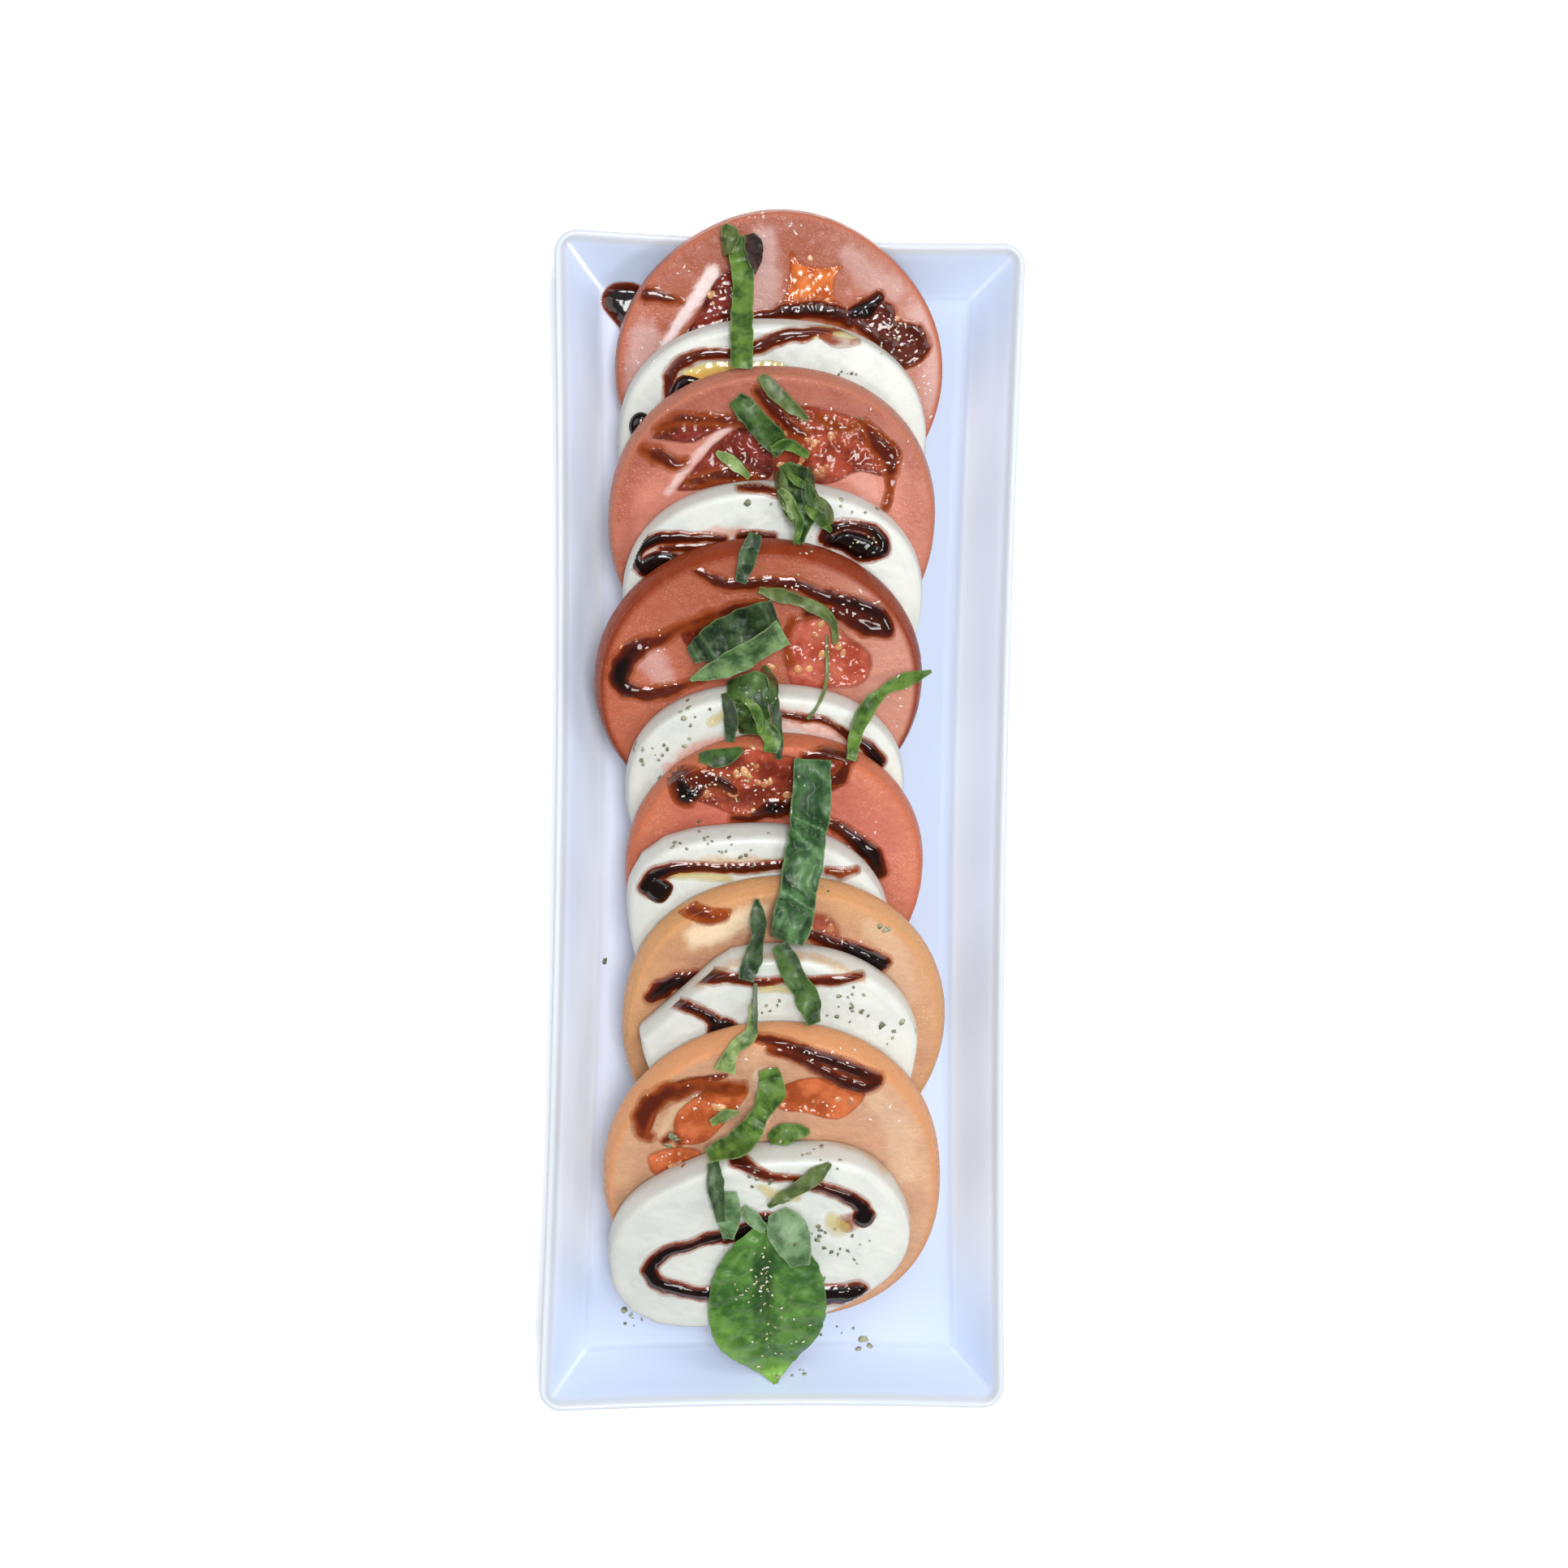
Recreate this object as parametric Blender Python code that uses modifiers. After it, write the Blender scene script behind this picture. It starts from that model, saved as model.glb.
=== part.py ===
"""Caprese salad on its own rectangular serving plate.

Six tomato slices and six mozzarella slices lie shingled along the plate, each leaning on the one
before it, with torn basil strips and one whole basil leaf on top.
Frame: metres, +Z up, origin in the middle of the plate's flat underside, +Y along the plate towards
the first slice, +X across it.
"""
import math
from collections import namedtuple

import bmesh
import bpy
from mathutils import Matrix, Vector
from mathutils.bvhtree import BVHTree

MM = 0.001
GAP = 0.4 * MM                      # air between things that lie on each other
ABOVE_ALL = 120 * MM                # higher than anything on the plate
SHARP_ANGLE = 40                    # edges steeper than this many degrees stay crisp

# Plate, outer size over the lip
PLATE_WIDTH = 122.4 * MM
PLATE_LENGTH = 305.0 * MM
PLATE_HEIGHT = 22.0 * MM
SIDE_BOW = 2.4 * MM                 # how far the long sides curve in at their middle
END_BOW = 1.3 * MM                  # the same for the short ends
FLOOR_HEIGHT = 4.8 * MM             # upper surface of the plate's floor
CORNER_STEPS = 4
LONG_STEPS = 12
SHORT_STEPS = 6

# Slices: points around the outline
ROUND_STEPS = 32
INNER_RING = 0.6                    # a ring inside each round face, as a share of its radius
CHEESE_CROWN = 0.05                 # how far a mozzarella face swells, as a share of its thickness
BULGE_SHARPNESS = 10                # a swelling has faded by half 21 degrees to its side

Slice = namedtuple("Slice", "name x y tilt half_width half_length square thick flare bulges cuts")
# Plan centre x, y; tilt in degrees; sizes in millimetres; square is the outline's exponent
# (2 is an ellipse); flare is how far the skin stands out below a tomato's cut face, or the edge
# radius of a mozzarella slice; bulges are (direction, height) of soft swellings or flats of the
# outline; cuts are (direction, distance) of straight knife cuts through it.
SLICES = [
    Slice("tomato_1", -2.5, 118.8, 13.5, 42.5, 40.8, 2.0, 8.2, 1.2, ((130, -0.8), (48, -1.0)), ()),
    Slice("mozzarella_1", -4.5, 99.8, 18, 39.5, 31.5, 2.3, 9.0, 2.2, (), ()),
    Slice("tomato_2", -4.5, 79.4, 24, 41.7, 40.2, 2.15, 8.2, 1.6, (), ()),
    Slice("mozzarella_2", -4.2, 60.4, 25.5, 38.1, 31.0, 2.25, 9.2, 2.2, (), ()),
    Slice("tomato_3", -7.4, 38.5, 26, 41.7, 38.8, 2.05, 8.6, 2.6, (), ()),
    Slice("mozzarella_3", -5.3, 12.5, 26, 35.6, 28.2, 2.3, 9.0, 2.4, (), ()),
    Slice("tomato_4", -2.5, -9.0, 26, 38.2, 38.0, 2.1, 8.0, 1.4, (), ()),
    Slice("mozzarella_4", -6.0, -23.5, 26.5, 32.8, 29.6, 2.1, 9.0, 2.6, ((145, 5.0),), ()),
    Slice("tomato_5", 0.6, -49.0, 26.5, 41.4, 43.4, 2.05, 8.0, 1.4, ((137, 1.5),), ()),
    Slice("mozzarella_5", -2.0, -54.6, 27, 36.2, 31.6, 2.15, 9.2, 1.4, (),
          ((202, 31.0), (138, 30.4), (-7, 35.2))),
    Slice("tomato_6", -2.3, -86.5, 27.5, 42.9, 45.6, 2.05, 8.4, 2.2, ((-30, 3.0), (-58, 3.0)), ()),
    Slice("mozzarella_6", -4.6, -101.2, 27.5, 38.0, 27.2, 2.0, 9.2, 2.6,
          ((46, 3.8), (140, -1.8), (217, 6.8), (-32, -1.5)), ()),
]

# Basil: thin sheets cut from leaves, draped over what lies under them
LEAF_THICK = 0.8 * MM
STATION = 3.0 * MM                  # spacing of the sheet's rows
RELAX_ROUNDS = 80
SAG = 0.01 * MM                     # how far a row hangs below the mean of its neighbours
DROOP = 0.15 * MM                   # how far a free end or edge bends down in one row
FEELER = 1.2 * MM                   # narrowest band in which a row feels for what lies below
CURVE_STEPS = 20                    # straight pieces between two places of a route

Sheet = namedtuple("Sheet", "name columns curl widths route")
# columns across; curl lifts both long edges; widths are spread evenly from the first end to the
# last; route is the middle line in plan. All sizes in millimetres.
SHEETS = [
    Sheet("basil_leaf", 8, 3.0, (2, 18, 26, 29.4, 29.8, 28, 21, 10, 0.8),
          ((-4.0, -98.0), (-3.4, -112.0), (-2.2, -128.0), (0.7, -145.0))),
    Sheet("basil_strip_1", 2, 0.5, (5, 6, 6), ((-15.4, 149), (-13.4, 139), (-13.8, 127), (-14, 114))),
    Sheet("basil_strip_2", 2, 0.4, (3, 3.6, 2.5), ((-9.5, 112), (-4.6, 107), (2.5, 101.8))),
    Sheet("basil_strip_3", 2, 0.6, (5, 5.6, 5.4), ((-15.5, 106.5), (-9.3, 100), (-3.0, 94.4))),
    Sheet("basil_strip_4", 4, 1.0, (6, 10, 12, 9, 2), ((-3.0, 90.8), (0.4, 85), (1.2, 78), (1, 70.8))),
    Sheet("basil_strip_5", 2, 0.4, (3.5, 4.4, 3.6), ((-10.2, 73), (-12.3, 66.7), (-13.6, 61))),
    Sheet("basil_strip_6", 2, 0.3, (1.5, 3.4, 3, 2.2), ((-9, 59.4), (1.3, 57), (9, 53), (10.8, 47))),
    Sheet("basil_strip_7", 4, 0.8, (4, 9, 9.5, 7), ((-25.4, 43.4), (-15.5, 48.6), (-4.6, 54))),
    Sheet("basil_strip_8", 2, 0.6, (1, 5.6, 6, 7), ((-25.2, 37.3), (-14.2, 42), (-2.6, 49.3))),
    Sheet("basil_strip_9", 4, 0.8, (7, 11, 9, 5), ((-12.5, 38.5), (-10, 32), (-10.6, 24))),
    Sheet("basil_strip_10", 2, 0.4, (1, 3.6, 3.6, 3), ((35.6, 40.6), (23.2, 35.3), (16.8, 26.7),
                                                      (14.6, 18))),
    Sheet("basil_strip_11", 2, 0.4, (1.5, 4, 4.4), ((-8.6, -16.4), (-8.2, -25), (-11.2, -36))),
    Sheet("basil_strip_12", 2, 0.5, (4, 5.6, 4.6), ((-2.9, -27), (0.6, -34.9), (3.8, -39.7), (6, -46.8))),
    Sheet("basil_strip_13", 2, 0.9, (9, 9.6, 9.4, 9.6, 8), ((4.8, 18), (4.4, 5), (2.4, -9.2),
                                                          (-1.2, -26.5))),
    Sheet("basil_strip_14", 2, 0.3, (2, 3, 3.4, 5.4), ((-8.9, -42.4), (-9.6, -49), (-14, -53),
                                                      (-16, -58.5))),
    Sheet("basil_strip_15", 2, 0.6, (5, 6, 6, 5.6, 4), ((-5.2, -58), (-4.2, -63.4), (-7, -70),
                                                      (-11.4, -76.6), (-19.5, -80.4))),
    Sheet("basil_strip_16", 2, 0.4, (4.6, 5.6, 4), ((-14, -89.6), (-13.8, -102))),
    Sheet("basil_strip_17", 2, 0.4, (3.4, 4, 3), ((-18, -82), (-17.4, -88), (-15.8, -97))),
    Sheet("basil_strip_18", 2, 0.4, (2, 4.6, 3, 1), ((10.7, -81.9), (3.5, -88), (-4.2, -93.4))),
    Sheet("basil_strip_19", 4, 0.8, (5, 10.5, 11, 5), ((-1.4, -95), (2.4, -102), (5.2, -109.6))),
]

GLAZED = ("glazed_white", (0.72, 0.77, 0.88), 0.18)
FLESH = ("tomato_flesh", (0.62, 0.20, 0.14), 0.3)
CHEESE = ("mozzarella", (0.84, 0.85, 0.80), 0.4)
LEAF = ("basil_leaf", (0.10, 0.22, 0.05), 0.45)


def clear_scene():
    for item in list(bpy.data.objects):
        bpy.data.objects.remove(item, do_unlink=True)


def make_material(name, colour, roughness):
    material = bpy.data.materials.new(name)
    material.use_nodes = True
    shader = material.node_tree.nodes["Principled BSDF"]
    shader.inputs["Base Color"].default_value = (*colour, 1.0)
    shader.inputs["Roughness"].default_value = roughness
    shader.inputs["Metallic"].default_value = 0.0
    return material


def add_object(name, mesh, material, collection):
    mesh.materials.append(material)
    mesh.shade_smooth()
    mesh.set_sharp_from_angle(angle=math.radians(SHARP_ANGLE))
    item = bpy.data.objects.new(name, mesh)
    collection.objects.link(item)
    return item


def loft(name, rings, first_centre, last_centre):
    """Close a stack of point rings into one body, with a fan to a centre point at each end."""
    shape = bmesh.new()
    loops = [[shape.verts.new(point) for point in ring] for ring in rings]
    count = len(loops[0])
    for lower, upper in zip(loops, loops[1:]):
        for step in range(count):
            after = (step + 1) % count
            shape.faces.new((lower[step], lower[after], upper[after], upper[step]))
    for loop, centre, turned in ((loops[0], first_centre, True), (loops[-1], last_centre, False)):
        middle = shape.verts.new(centre)
        for step in range(count):
            pair = (loop[step], loop[(step + 1) % count])
            shape.faces.new((middle, *(reversed(pair) if turned else pair)))
    mesh = bpy.data.meshes.new(name)
    shape.to_mesh(mesh)
    shape.free()
    return mesh


def plate_ring(inset, height, corner):
    """One closed outline of the plate, drawn in from the lip by inset, with its bowed sides."""
    half_x = PLATE_WIDTH / 2 - inset
    half_y = PLATE_LENGTH / 2 - inset
    points = []

    def add(x, y):
        bowed_x = x * (1 - SIDE_BOW / half_x * (1 - (y / half_y) ** 2))
        bowed_y = y * (1 - END_BOW / half_y * (1 - (x / half_x) ** 2))
        points.append(Vector((bowed_x, bowed_y, height)))

    sides = ((1, 1, SHORT_STEPS), (-1, 1, LONG_STEPS), (-1, -1, SHORT_STEPS), (1, -1, LONG_STEPS))
    for index, (sign_x, sign_y, steps) in enumerate(sides):
        centre = Vector((sign_x * (half_x - corner), sign_y * (half_y - corner), 0))
        for step in range(CORNER_STEPS + 1):
            turn = math.radians(90) * (index + step / CORNER_STEPS)
            add(centre.x + corner * math.cos(turn), centre.y + corner * math.sin(turn))
        next_x, next_y, _ = sides[(index + 1) % 4]
        end = Vector((next_x * (half_x - corner), next_y * (half_y - corner), 0))
        turn = math.radians(90) * (index + 1)
        out = Vector((math.cos(turn), math.sin(turn), 0)) * corner
        for step in range(1, steps):
            spot = centre.lerp(end, step / steps) + out
            add(spot.x, spot.y)
    return points


def build_plate(material, collection):
    """Flat base, sloping walls that meet in creases at the corners, and a thin rounded lip."""
    outside = [                      # inset from the lip, share of the height, corner radius
        (16.0, 0.0, 3.0), (15.0, 0.015, 3.0), (12.5, 0.14, 3.5), (8.0, 0.39, 4.5),
        (3.5, 0.73, 5.5), (0.9, 0.91, 6.2), (0.1, 0.95, 6.4), (0.1, 0.98, 6.4), (0.9, 1.0, 6.2),
    ]
    inside = [                       # inset, share of the height over the floor, corner radius
        (2.0, 0.977, 6.0), (3.4, 0.87, 5.4), (6.5, 0.545, 4.4), (9.6, 0.245, 3.4),
        (12.2, 0.095, 2.8), (15.5, 0.025, 2.6), (20.0, 0.003, 2.6),
    ]
    depth = PLATE_HEIGHT - FLOOR_HEIGHT
    rings = [plate_ring(inset * MM, share * PLATE_HEIGHT, corner * MM)
             for inset, share, corner in outside]
    rings += [plate_ring(inset * MM, FLOOR_HEIGHT + share * depth, corner * MM)
              for inset, share, corner in inside]
    mesh = loft("plate", rings, (0, 0, 0), (0, 0, FLOOR_HEIGHT))
    return add_object("plate", mesh, material, collection)


def outline_radius(turn, form):
    """Distance from a slice's centre to its edge in one direction, in metres."""
    side = abs(math.cos(turn)) / form.half_width
    along = abs(math.sin(turn)) / form.half_length
    radius = (side ** form.square + along ** form.square) ** (-1 / form.square)
    for direction, height in form.bulges:
        facing = math.cos(turn - math.radians(direction))
        radius += height * max(0.0, facing) ** BULGE_SHARPNESS
    for direction, distance in form.cuts:
        facing = math.cos(turn - math.radians(direction))
        if facing > 0.2:
            radius = min(radius, distance / facing)
    return radius * MM


def slice_side(form):
    """(distance out from the cut face's edge, share of the thickness) from below to above."""
    flare = form.flare * MM
    if form.name.startswith("tomato"):
        return [(0.55 * flare, 0.0), (1.0 * flare, 0.14), (0.95 * flare, 0.5), (0.0, 1.0)]
    return [(0.0, 0.0), (0.7 * flare, 0.09), (flare, 0.4), (0.9 * flare, 0.7), (0.55 * flare, 0.92),
            (0.0, 1.0)]


def slice_mesh(form):
    """A cut slice in its own frame: centre of the underside at the origin, cut face up."""
    thick = form.thick * MM
    flare = form.flare * MM
    turns = [math.tau * step / ROUND_STEPS for step in range(ROUND_STEPS)]

    def ring(outset, level, share=1.0):
        points = []
        for turn in turns:
            radius = (outline_radius(turn, form) - flare + outset) * share
            points.append(Vector((radius * math.cos(turn), radius * math.sin(turn), level)))
        return points

    crown = 0.0 if form.name.startswith("tomato") else CHEESE_CROWN * thick
    side = slice_side(form)
    rings = [ring(side[0][0], 0.0, INNER_RING)]
    rings += [ring(outset, share * thick) for outset, share in side]
    rings += [ring(side[-1][0], thick + crown, INNER_RING)]
    return loft(form.name, rings, (0, 0, 0), (0, 0, thick + crown))


def sample_points(mesh):
    """Corners, face centres and edge middles of a mesh, as points to measure clearances from."""
    points = [vert.co.copy() for vert in mesh.vertices]
    points += [face.center.copy() for face in mesh.polygons]
    for edge in mesh.edges:
        first, second = (mesh.vertices[index].co for index in edge.vertices)
        points.append((first + second) / 2)
    return points


def tree_of(mesh):
    return BVHTree.FromPolygons([vert.co for vert in mesh.vertices],
                                [tuple(face.vertices) for face in mesh.polygons])


def lay_down(mesh, supports):
    """Lower a mesh straight down until the nearest thing under it is one gap away."""
    down = Vector((0, 0, -1))
    own = tree_of(mesh)
    drop = math.inf
    for tree, points in supports:
        for point in sample_points(mesh):
            hit = tree.ray_cast(point, down)
            if hit[0] is not None:
                drop = min(drop, hit[3])
        for point in points:
            hit = own.ray_cast(point, -down)
            if hit[0] is not None:
                drop = min(drop, hit[3])
    mesh.transform(Matrix.Translation(down * (drop - GAP)))


def build_slices(materials, collection, plate):
    supports = [(tree_of(plate.data), sample_points(plate.data))]
    for form in SLICES:
        mesh = slice_mesh(form)
        place = (Matrix.Translation((form.x * MM, form.y * MM, ABOVE_ALL))
                 @ Matrix.Rotation(math.radians(form.tilt), 4, "X"))
        mesh.transform(place)
        lay_down(mesh, supports)
        kind = form.name.split("_")[0]
        add_object(form.name, mesh, materials[kind], collection)
        supports.append((tree_of(mesh), sample_points(mesh)))
        heights = [vert.co.z / MM for vert in mesh.vertices]
        print(form.name, "from %.1f to %.1f mm above the table" % (min(heights), max(heights)))
    return supports


def middle_line(route, spacing):
    """Evenly spaced points on a smooth curve through the route, with their sideways directions."""
    spots = [Vector((x * MM, y * MM, 0)) for x, y in route]
    spots = [2 * spots[0] - spots[1]] + spots + [2 * spots[-1] - spots[-2]]
    fine = []
    for before, start, end, after in zip(spots, spots[1:], spots[2:], spots[3:]):
        for step in range(CURVE_STEPS):
            t = step / CURVE_STEPS
            fine.append(0.5 * (2 * start + (end - before) * t
                               + (2 * before - 5 * start + 4 * end - after) * t * t
                               + (3 * start - before - 3 * end + after) * t ** 3))
    fine.append(spots[-2])
    lengths = [0.0]
    for start, end in zip(fine, fine[1:]):
        lengths.append(lengths[-1] + (end - start).length)
    rows = max(3, round(lengths[-1] / spacing))
    points = []
    for row in range(rows + 1):
        goal = lengths[-1] * row / rows
        index = max(1, next(i for i, length in enumerate(lengths) if length >= goal - 1e-9))
        share = (goal - lengths[index - 1]) / (lengths[index] - lengths[index - 1])
        points.append(fine[index - 1].lerp(fine[index], share))
    sideways = []
    for row, point in enumerate(points):
        ahead = points[min(row + 1, rows)] - points[max(row - 1, 0)]
        sideways.append(Vector((ahead.y, -ahead.x, 0)).normalized())
    return points, sideways


def spread(values, share):
    """Value at a share of the way along an evenly spaced list."""
    place = share * (len(values) - 1)
    index = min(int(place), len(values) - 2)
    return values[index] + (values[index + 1] - values[index]) * (place - index)


def top_under(spot, supports):
    """Height of the highest surface under a point in plan."""
    start = Vector((spot.x, spot.y, ABOVE_ALL))
    hits = [tree.ray_cast(start, Vector((0, 0, -1)))[0] for tree, _ in supports]
    return max((hit.z for hit in hits if hit is not None), default=0.0)


def drape(form, supports):
    """Grid of points for one leaf sheet, resting on the supports and bridging between them."""
    points, sideways = middle_line(form.route, STATION)
    rows, columns = len(points), form.columns + 1
    plan, floor = [], []
    for row, (point, side) in enumerate(zip(points, sideways)):
        width = spread(form.widths, row / (rows - 1)) * MM
        plan.append([point + side * width * (column / (columns - 1) - 0.5)
                     for column in range(columns)])
        nudge = max(width / (columns - 1), FEELER) / 2
        ahead = Vector((-side.y, side.x, 0)) * STATION / 2
        floor.append([max(top_under(spot + side * across * nudge + ahead * along, supports)
                          for across in (-1.3, 0, 1.3) for along in (-1, -0.5, 0, 0.5, 1)) + GAP
                      for spot in plan[-1]])
    height = [list(line) for line in floor]

    def carried(row, column, step_row, step_column):
        """Mean of the two neighbours, or at a free edge the straight line from inside, drooped."""
        ends = [(row + sign * step_row, column + sign * step_column) for sign in (-1, 1)]
        inner = [(r, c) for r, c in ends if 0 <= r < rows and 0 <= c < columns]
        if len(inner) == 2:
            return sum(height[r][c] for r, c in inner) / 2 - SAG
        near_row, near_column = inner[0]
        far = height[2 * near_row - row][2 * near_column - column]
        return 2 * height[near_row][near_column] - far - DROOP

    for _ in range(RELAX_ROUNDS):
        for row in range(rows):
            for column in range(columns):
                mean = (carried(row, column, 1, 0) + carried(row, column, 0, 1)) / 2
                height[row][column] = max(floor[row][column], mean)
    for row in range(rows):
        for column in range(columns):
            edge = abs(2 * column / (columns - 1) - 1)
            plan[row][column].z = height[row][column] + form.curl * MM * edge ** 2
    return plan


def build_sheet(form, material, collection, supports):
    grid = drape(form, supports)
    shape = bmesh.new()
    bmesh.ops.create_grid(shape, x_segments=len(grid) - 1, y_segments=form.columns, size=1)
    shape.verts.ensure_lookup_table()
    for column in range(form.columns + 1):
        for row, line in enumerate(grid):
            shape.verts[column * len(grid) + row].co = line[column]
    shape.normal_update()
    if sum(face.normal.z for face in shape.faces) < 0:
        bmesh.ops.reverse_faces(shape, faces=shape.faces)
    mesh = bpy.data.meshes.new(form.name)
    shape.to_mesh(mesh)
    shape.free()
    item = add_object(form.name, mesh, material, collection)
    shell = item.modifiers.new("leaf_thickness", "SOLIDIFY")
    shell.thickness = LEAF_THICK
    shell.offset = 1.0
    upper = mesh.copy()
    upper.transform(Matrix.Translation((0, 0, 1.2 * LEAF_THICK)))
    supports.append((tree_of(upper), sample_points(upper)))
    bpy.data.meshes.remove(upper)


def main():
    clear_scene()
    collection = bpy.data.collections.new("caprese_salad")
    bpy.context.scene.collection.children.link(collection)
    materials = {
        "tomato": make_material(*FLESH),
        "mozzarella": make_material(*CHEESE),
        "basil": make_material(*LEAF),
    }
    plate = build_plate(make_material(*GLAZED), collection)
    supports = build_slices(materials, collection, plate)
    for form in SHEETS:
        build_sheet(form, materials["basil"], collection, supports)


main()
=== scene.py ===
# %% [markdown]
# # A caprese salad on a long plate
# Six tomato slices and six mozzarella slices lie like fallen dominoes on a narrow glazed plate,
# with torn basil, lines of balsamic glaze and a dusting of dried herbs on top.
# The CAD frame already says where the plate, the slices and the basil are. This lesson reads
# every place from it and builds the finer shapes and the finishes round it.

# %% Load the frame
import math
from collections import namedtuple

import bpy
import numpy as np
from mathutils import Matrix, Vector
from mathutils.bvhtree import BVHTree


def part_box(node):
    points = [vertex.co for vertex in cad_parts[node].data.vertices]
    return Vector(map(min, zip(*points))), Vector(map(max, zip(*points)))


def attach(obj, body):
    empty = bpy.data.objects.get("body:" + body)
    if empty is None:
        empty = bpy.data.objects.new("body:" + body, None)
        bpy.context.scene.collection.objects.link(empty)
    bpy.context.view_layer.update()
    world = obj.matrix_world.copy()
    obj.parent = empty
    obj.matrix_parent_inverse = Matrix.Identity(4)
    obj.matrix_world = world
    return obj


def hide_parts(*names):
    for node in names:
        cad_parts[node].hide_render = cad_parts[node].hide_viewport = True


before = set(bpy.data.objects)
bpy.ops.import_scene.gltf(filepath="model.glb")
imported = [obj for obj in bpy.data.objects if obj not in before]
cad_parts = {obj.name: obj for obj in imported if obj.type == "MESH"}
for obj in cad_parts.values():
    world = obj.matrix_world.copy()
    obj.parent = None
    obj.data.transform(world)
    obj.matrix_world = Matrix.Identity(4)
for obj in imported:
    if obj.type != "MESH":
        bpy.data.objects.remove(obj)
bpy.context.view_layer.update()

# %% [markdown]
# ## One plan for everything
# Cooks build this dish from above, so nearly every place here is given in plan: millimetres
# across and along the plate from its middle. Heights are never typed in. They come from dropping
# a point straight down on what lies under it, as food does.

# %% The plan's origin
MM = 0.001
plate_low, plate_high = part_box("plate")
MIDDLE = Vector(((plate_low.x + plate_high.x) / 2, (plate_low.y + plate_high.y) / 2, 0))
TABLE = plate_low.z
print("plate %.1f x %.1f x %.1f mm" % tuple((plate_high - plate_low) / MM))


# %% [markdown]
# ## Writing shader maths as Python
# A material is a small network of nodes. Wiring it by hand is slow to read, so one class wraps
# an output socket and lets `1 - mask * 0.5` add the Math nodes. Every other node comes from
# `Finish.node`, which sets the node's own settings first and then fills its inputs.

# %% Sockets that add up
def maths(operation, turned_round=False):
    """A method that makes a Math node of a wire and another value."""
    def method(wire, other):
        first, second = (other, wire) if turned_round else (wire, other)
        return wire.finish.node("ShaderNodeMath", {"operation": operation}, {0: first, 1: second})
    return method


class Wire:
    """One output socket of a finish. Sums and products with it become Math nodes."""

    def __init__(self, finish, plug):
        self.finish = finish
        self.plug = plug

    __add__, __radd__ = maths("ADD"), maths("ADD", True)
    __sub__, __rsub__ = maths("SUBTRACT"), maths("SUBTRACT", True)
    __mul__, __rmul__ = maths("MULTIPLY"), maths("MULTIPLY", True)

    def __abs__(self):
        return self.finish.node("ShaderNodeMath", {"operation": "ABSOLUTE"}, {0: self})


# %% The finish, a material under construction
class Finish:
    """A procedural material built round one Principled shader."""

    def __init__(self, name, **constants):
        self.material = bpy.data.materials.new(name)
        self.material.use_nodes = True
        self.tree = self.material.node_tree
        self.shader = self.tree.nodes["Principled BSDF"]
        for label, value in constants.items():
            self.shader.inputs[label.replace("_", " ")].default_value = value

    def fill(self, sockets, values):
        for key, value in values.items():
            if isinstance(value, Wire):
                self.tree.links.new(value.plug, sockets[key])
            else:
                sockets[key].default_value = value

    def node(self, kind, settings=None, inputs=None, output=0):
        """Add a node: its settings first, then the values or wires of its sockets."""
        made = self.tree.nodes.new(kind)
        for key, value in (settings or {}).items():
            setattr(made, key, value)
        self.fill(made.inputs, inputs or {})
        return Wire(self, made.outputs[output])

    def place(self):
        """Where a point of the object is, in metres."""
        return self.node("ShaderNodeTexCoord", output=3)

    def axis(self, place, number):
        """One of the three numbers of a place."""
        return self.node("ShaderNodeSeparateXYZ", {}, {0: place}, output=number)

    def drawn(self, name, output="Fac"):
        """A value that was stored on the mesh, point by point."""
        return self.node("ShaderNodeAttribute", {"attribute_name": name}, output=output)

    def noise(self, place, scale, detail=3.0, roughness=0.55):
        """Cloudy variation round 0.5, at so many lumps for one unit of place."""
        return self.node("ShaderNodeTexNoise", {},
                         {"Vector": place, "Scale": scale, "Detail": detail,
                          "Roughness": roughness})

    def ramp(self, value, low, high):
        """0 below low, 1 above high and smooth between them."""
        return self.node("ShaderNodeMapRange", {"interpolation_type": "SMOOTHSTEP"},
                         {"Value": value, "From Min": low, "From Max": high})

    def mix(self, share, first, second):
        """From the first colour to the second as share goes from 0 to 1."""
        def colour(value):
            return value if isinstance(value, Wire) else (*value, 1.0)
        return self.node("ShaderNodeMix", {"data_type": "RGBA"},
                         {0: share, 6: colour(first), 7: colour(second)}, output=2)

    def bump(self, height, distance, strength):
        """A Bump node: the height's whole range stands for one distance in metres."""
        return self.node("ShaderNodeBump", {},
                         {"Height": height, "Distance": distance, "Strength": strength})

    def set(self, **values):
        """Wire what changes over the surface into the shader."""
        self.fill(self.shader.inputs, {label.replace("_", " "): value
                                       for label, value in values.items()})


def srgb(red, green, blue):
    """A colour named in the usual 0 to 255 steps, as the light it stands for."""
    return tuple(((c / 255 + 0.055) / 1.055) ** 2.4 if c > 10 else c / 255 / 12.92
                 for c in (red, green, blue))


def dimmed(colour, share):
    """A colour with only a share of its light."""
    return tuple(part * share for part in colour)


# %% [markdown]
# ## Small tools for shapes
# Food has no straight lines. `wavy` is a cheap smooth noise: a handful of sine waves in random
# directions. `smooth_route` draws a curve through a few given points. `gather` joins small
# shapes, and `add_piece` turns points and faces into an object that rides on the salad's one body.

# %% Noise and curves
WAVES = 9  # sine waves in one noise
STEPS_BETWEEN = 16  # fine points between two places of a route


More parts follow.
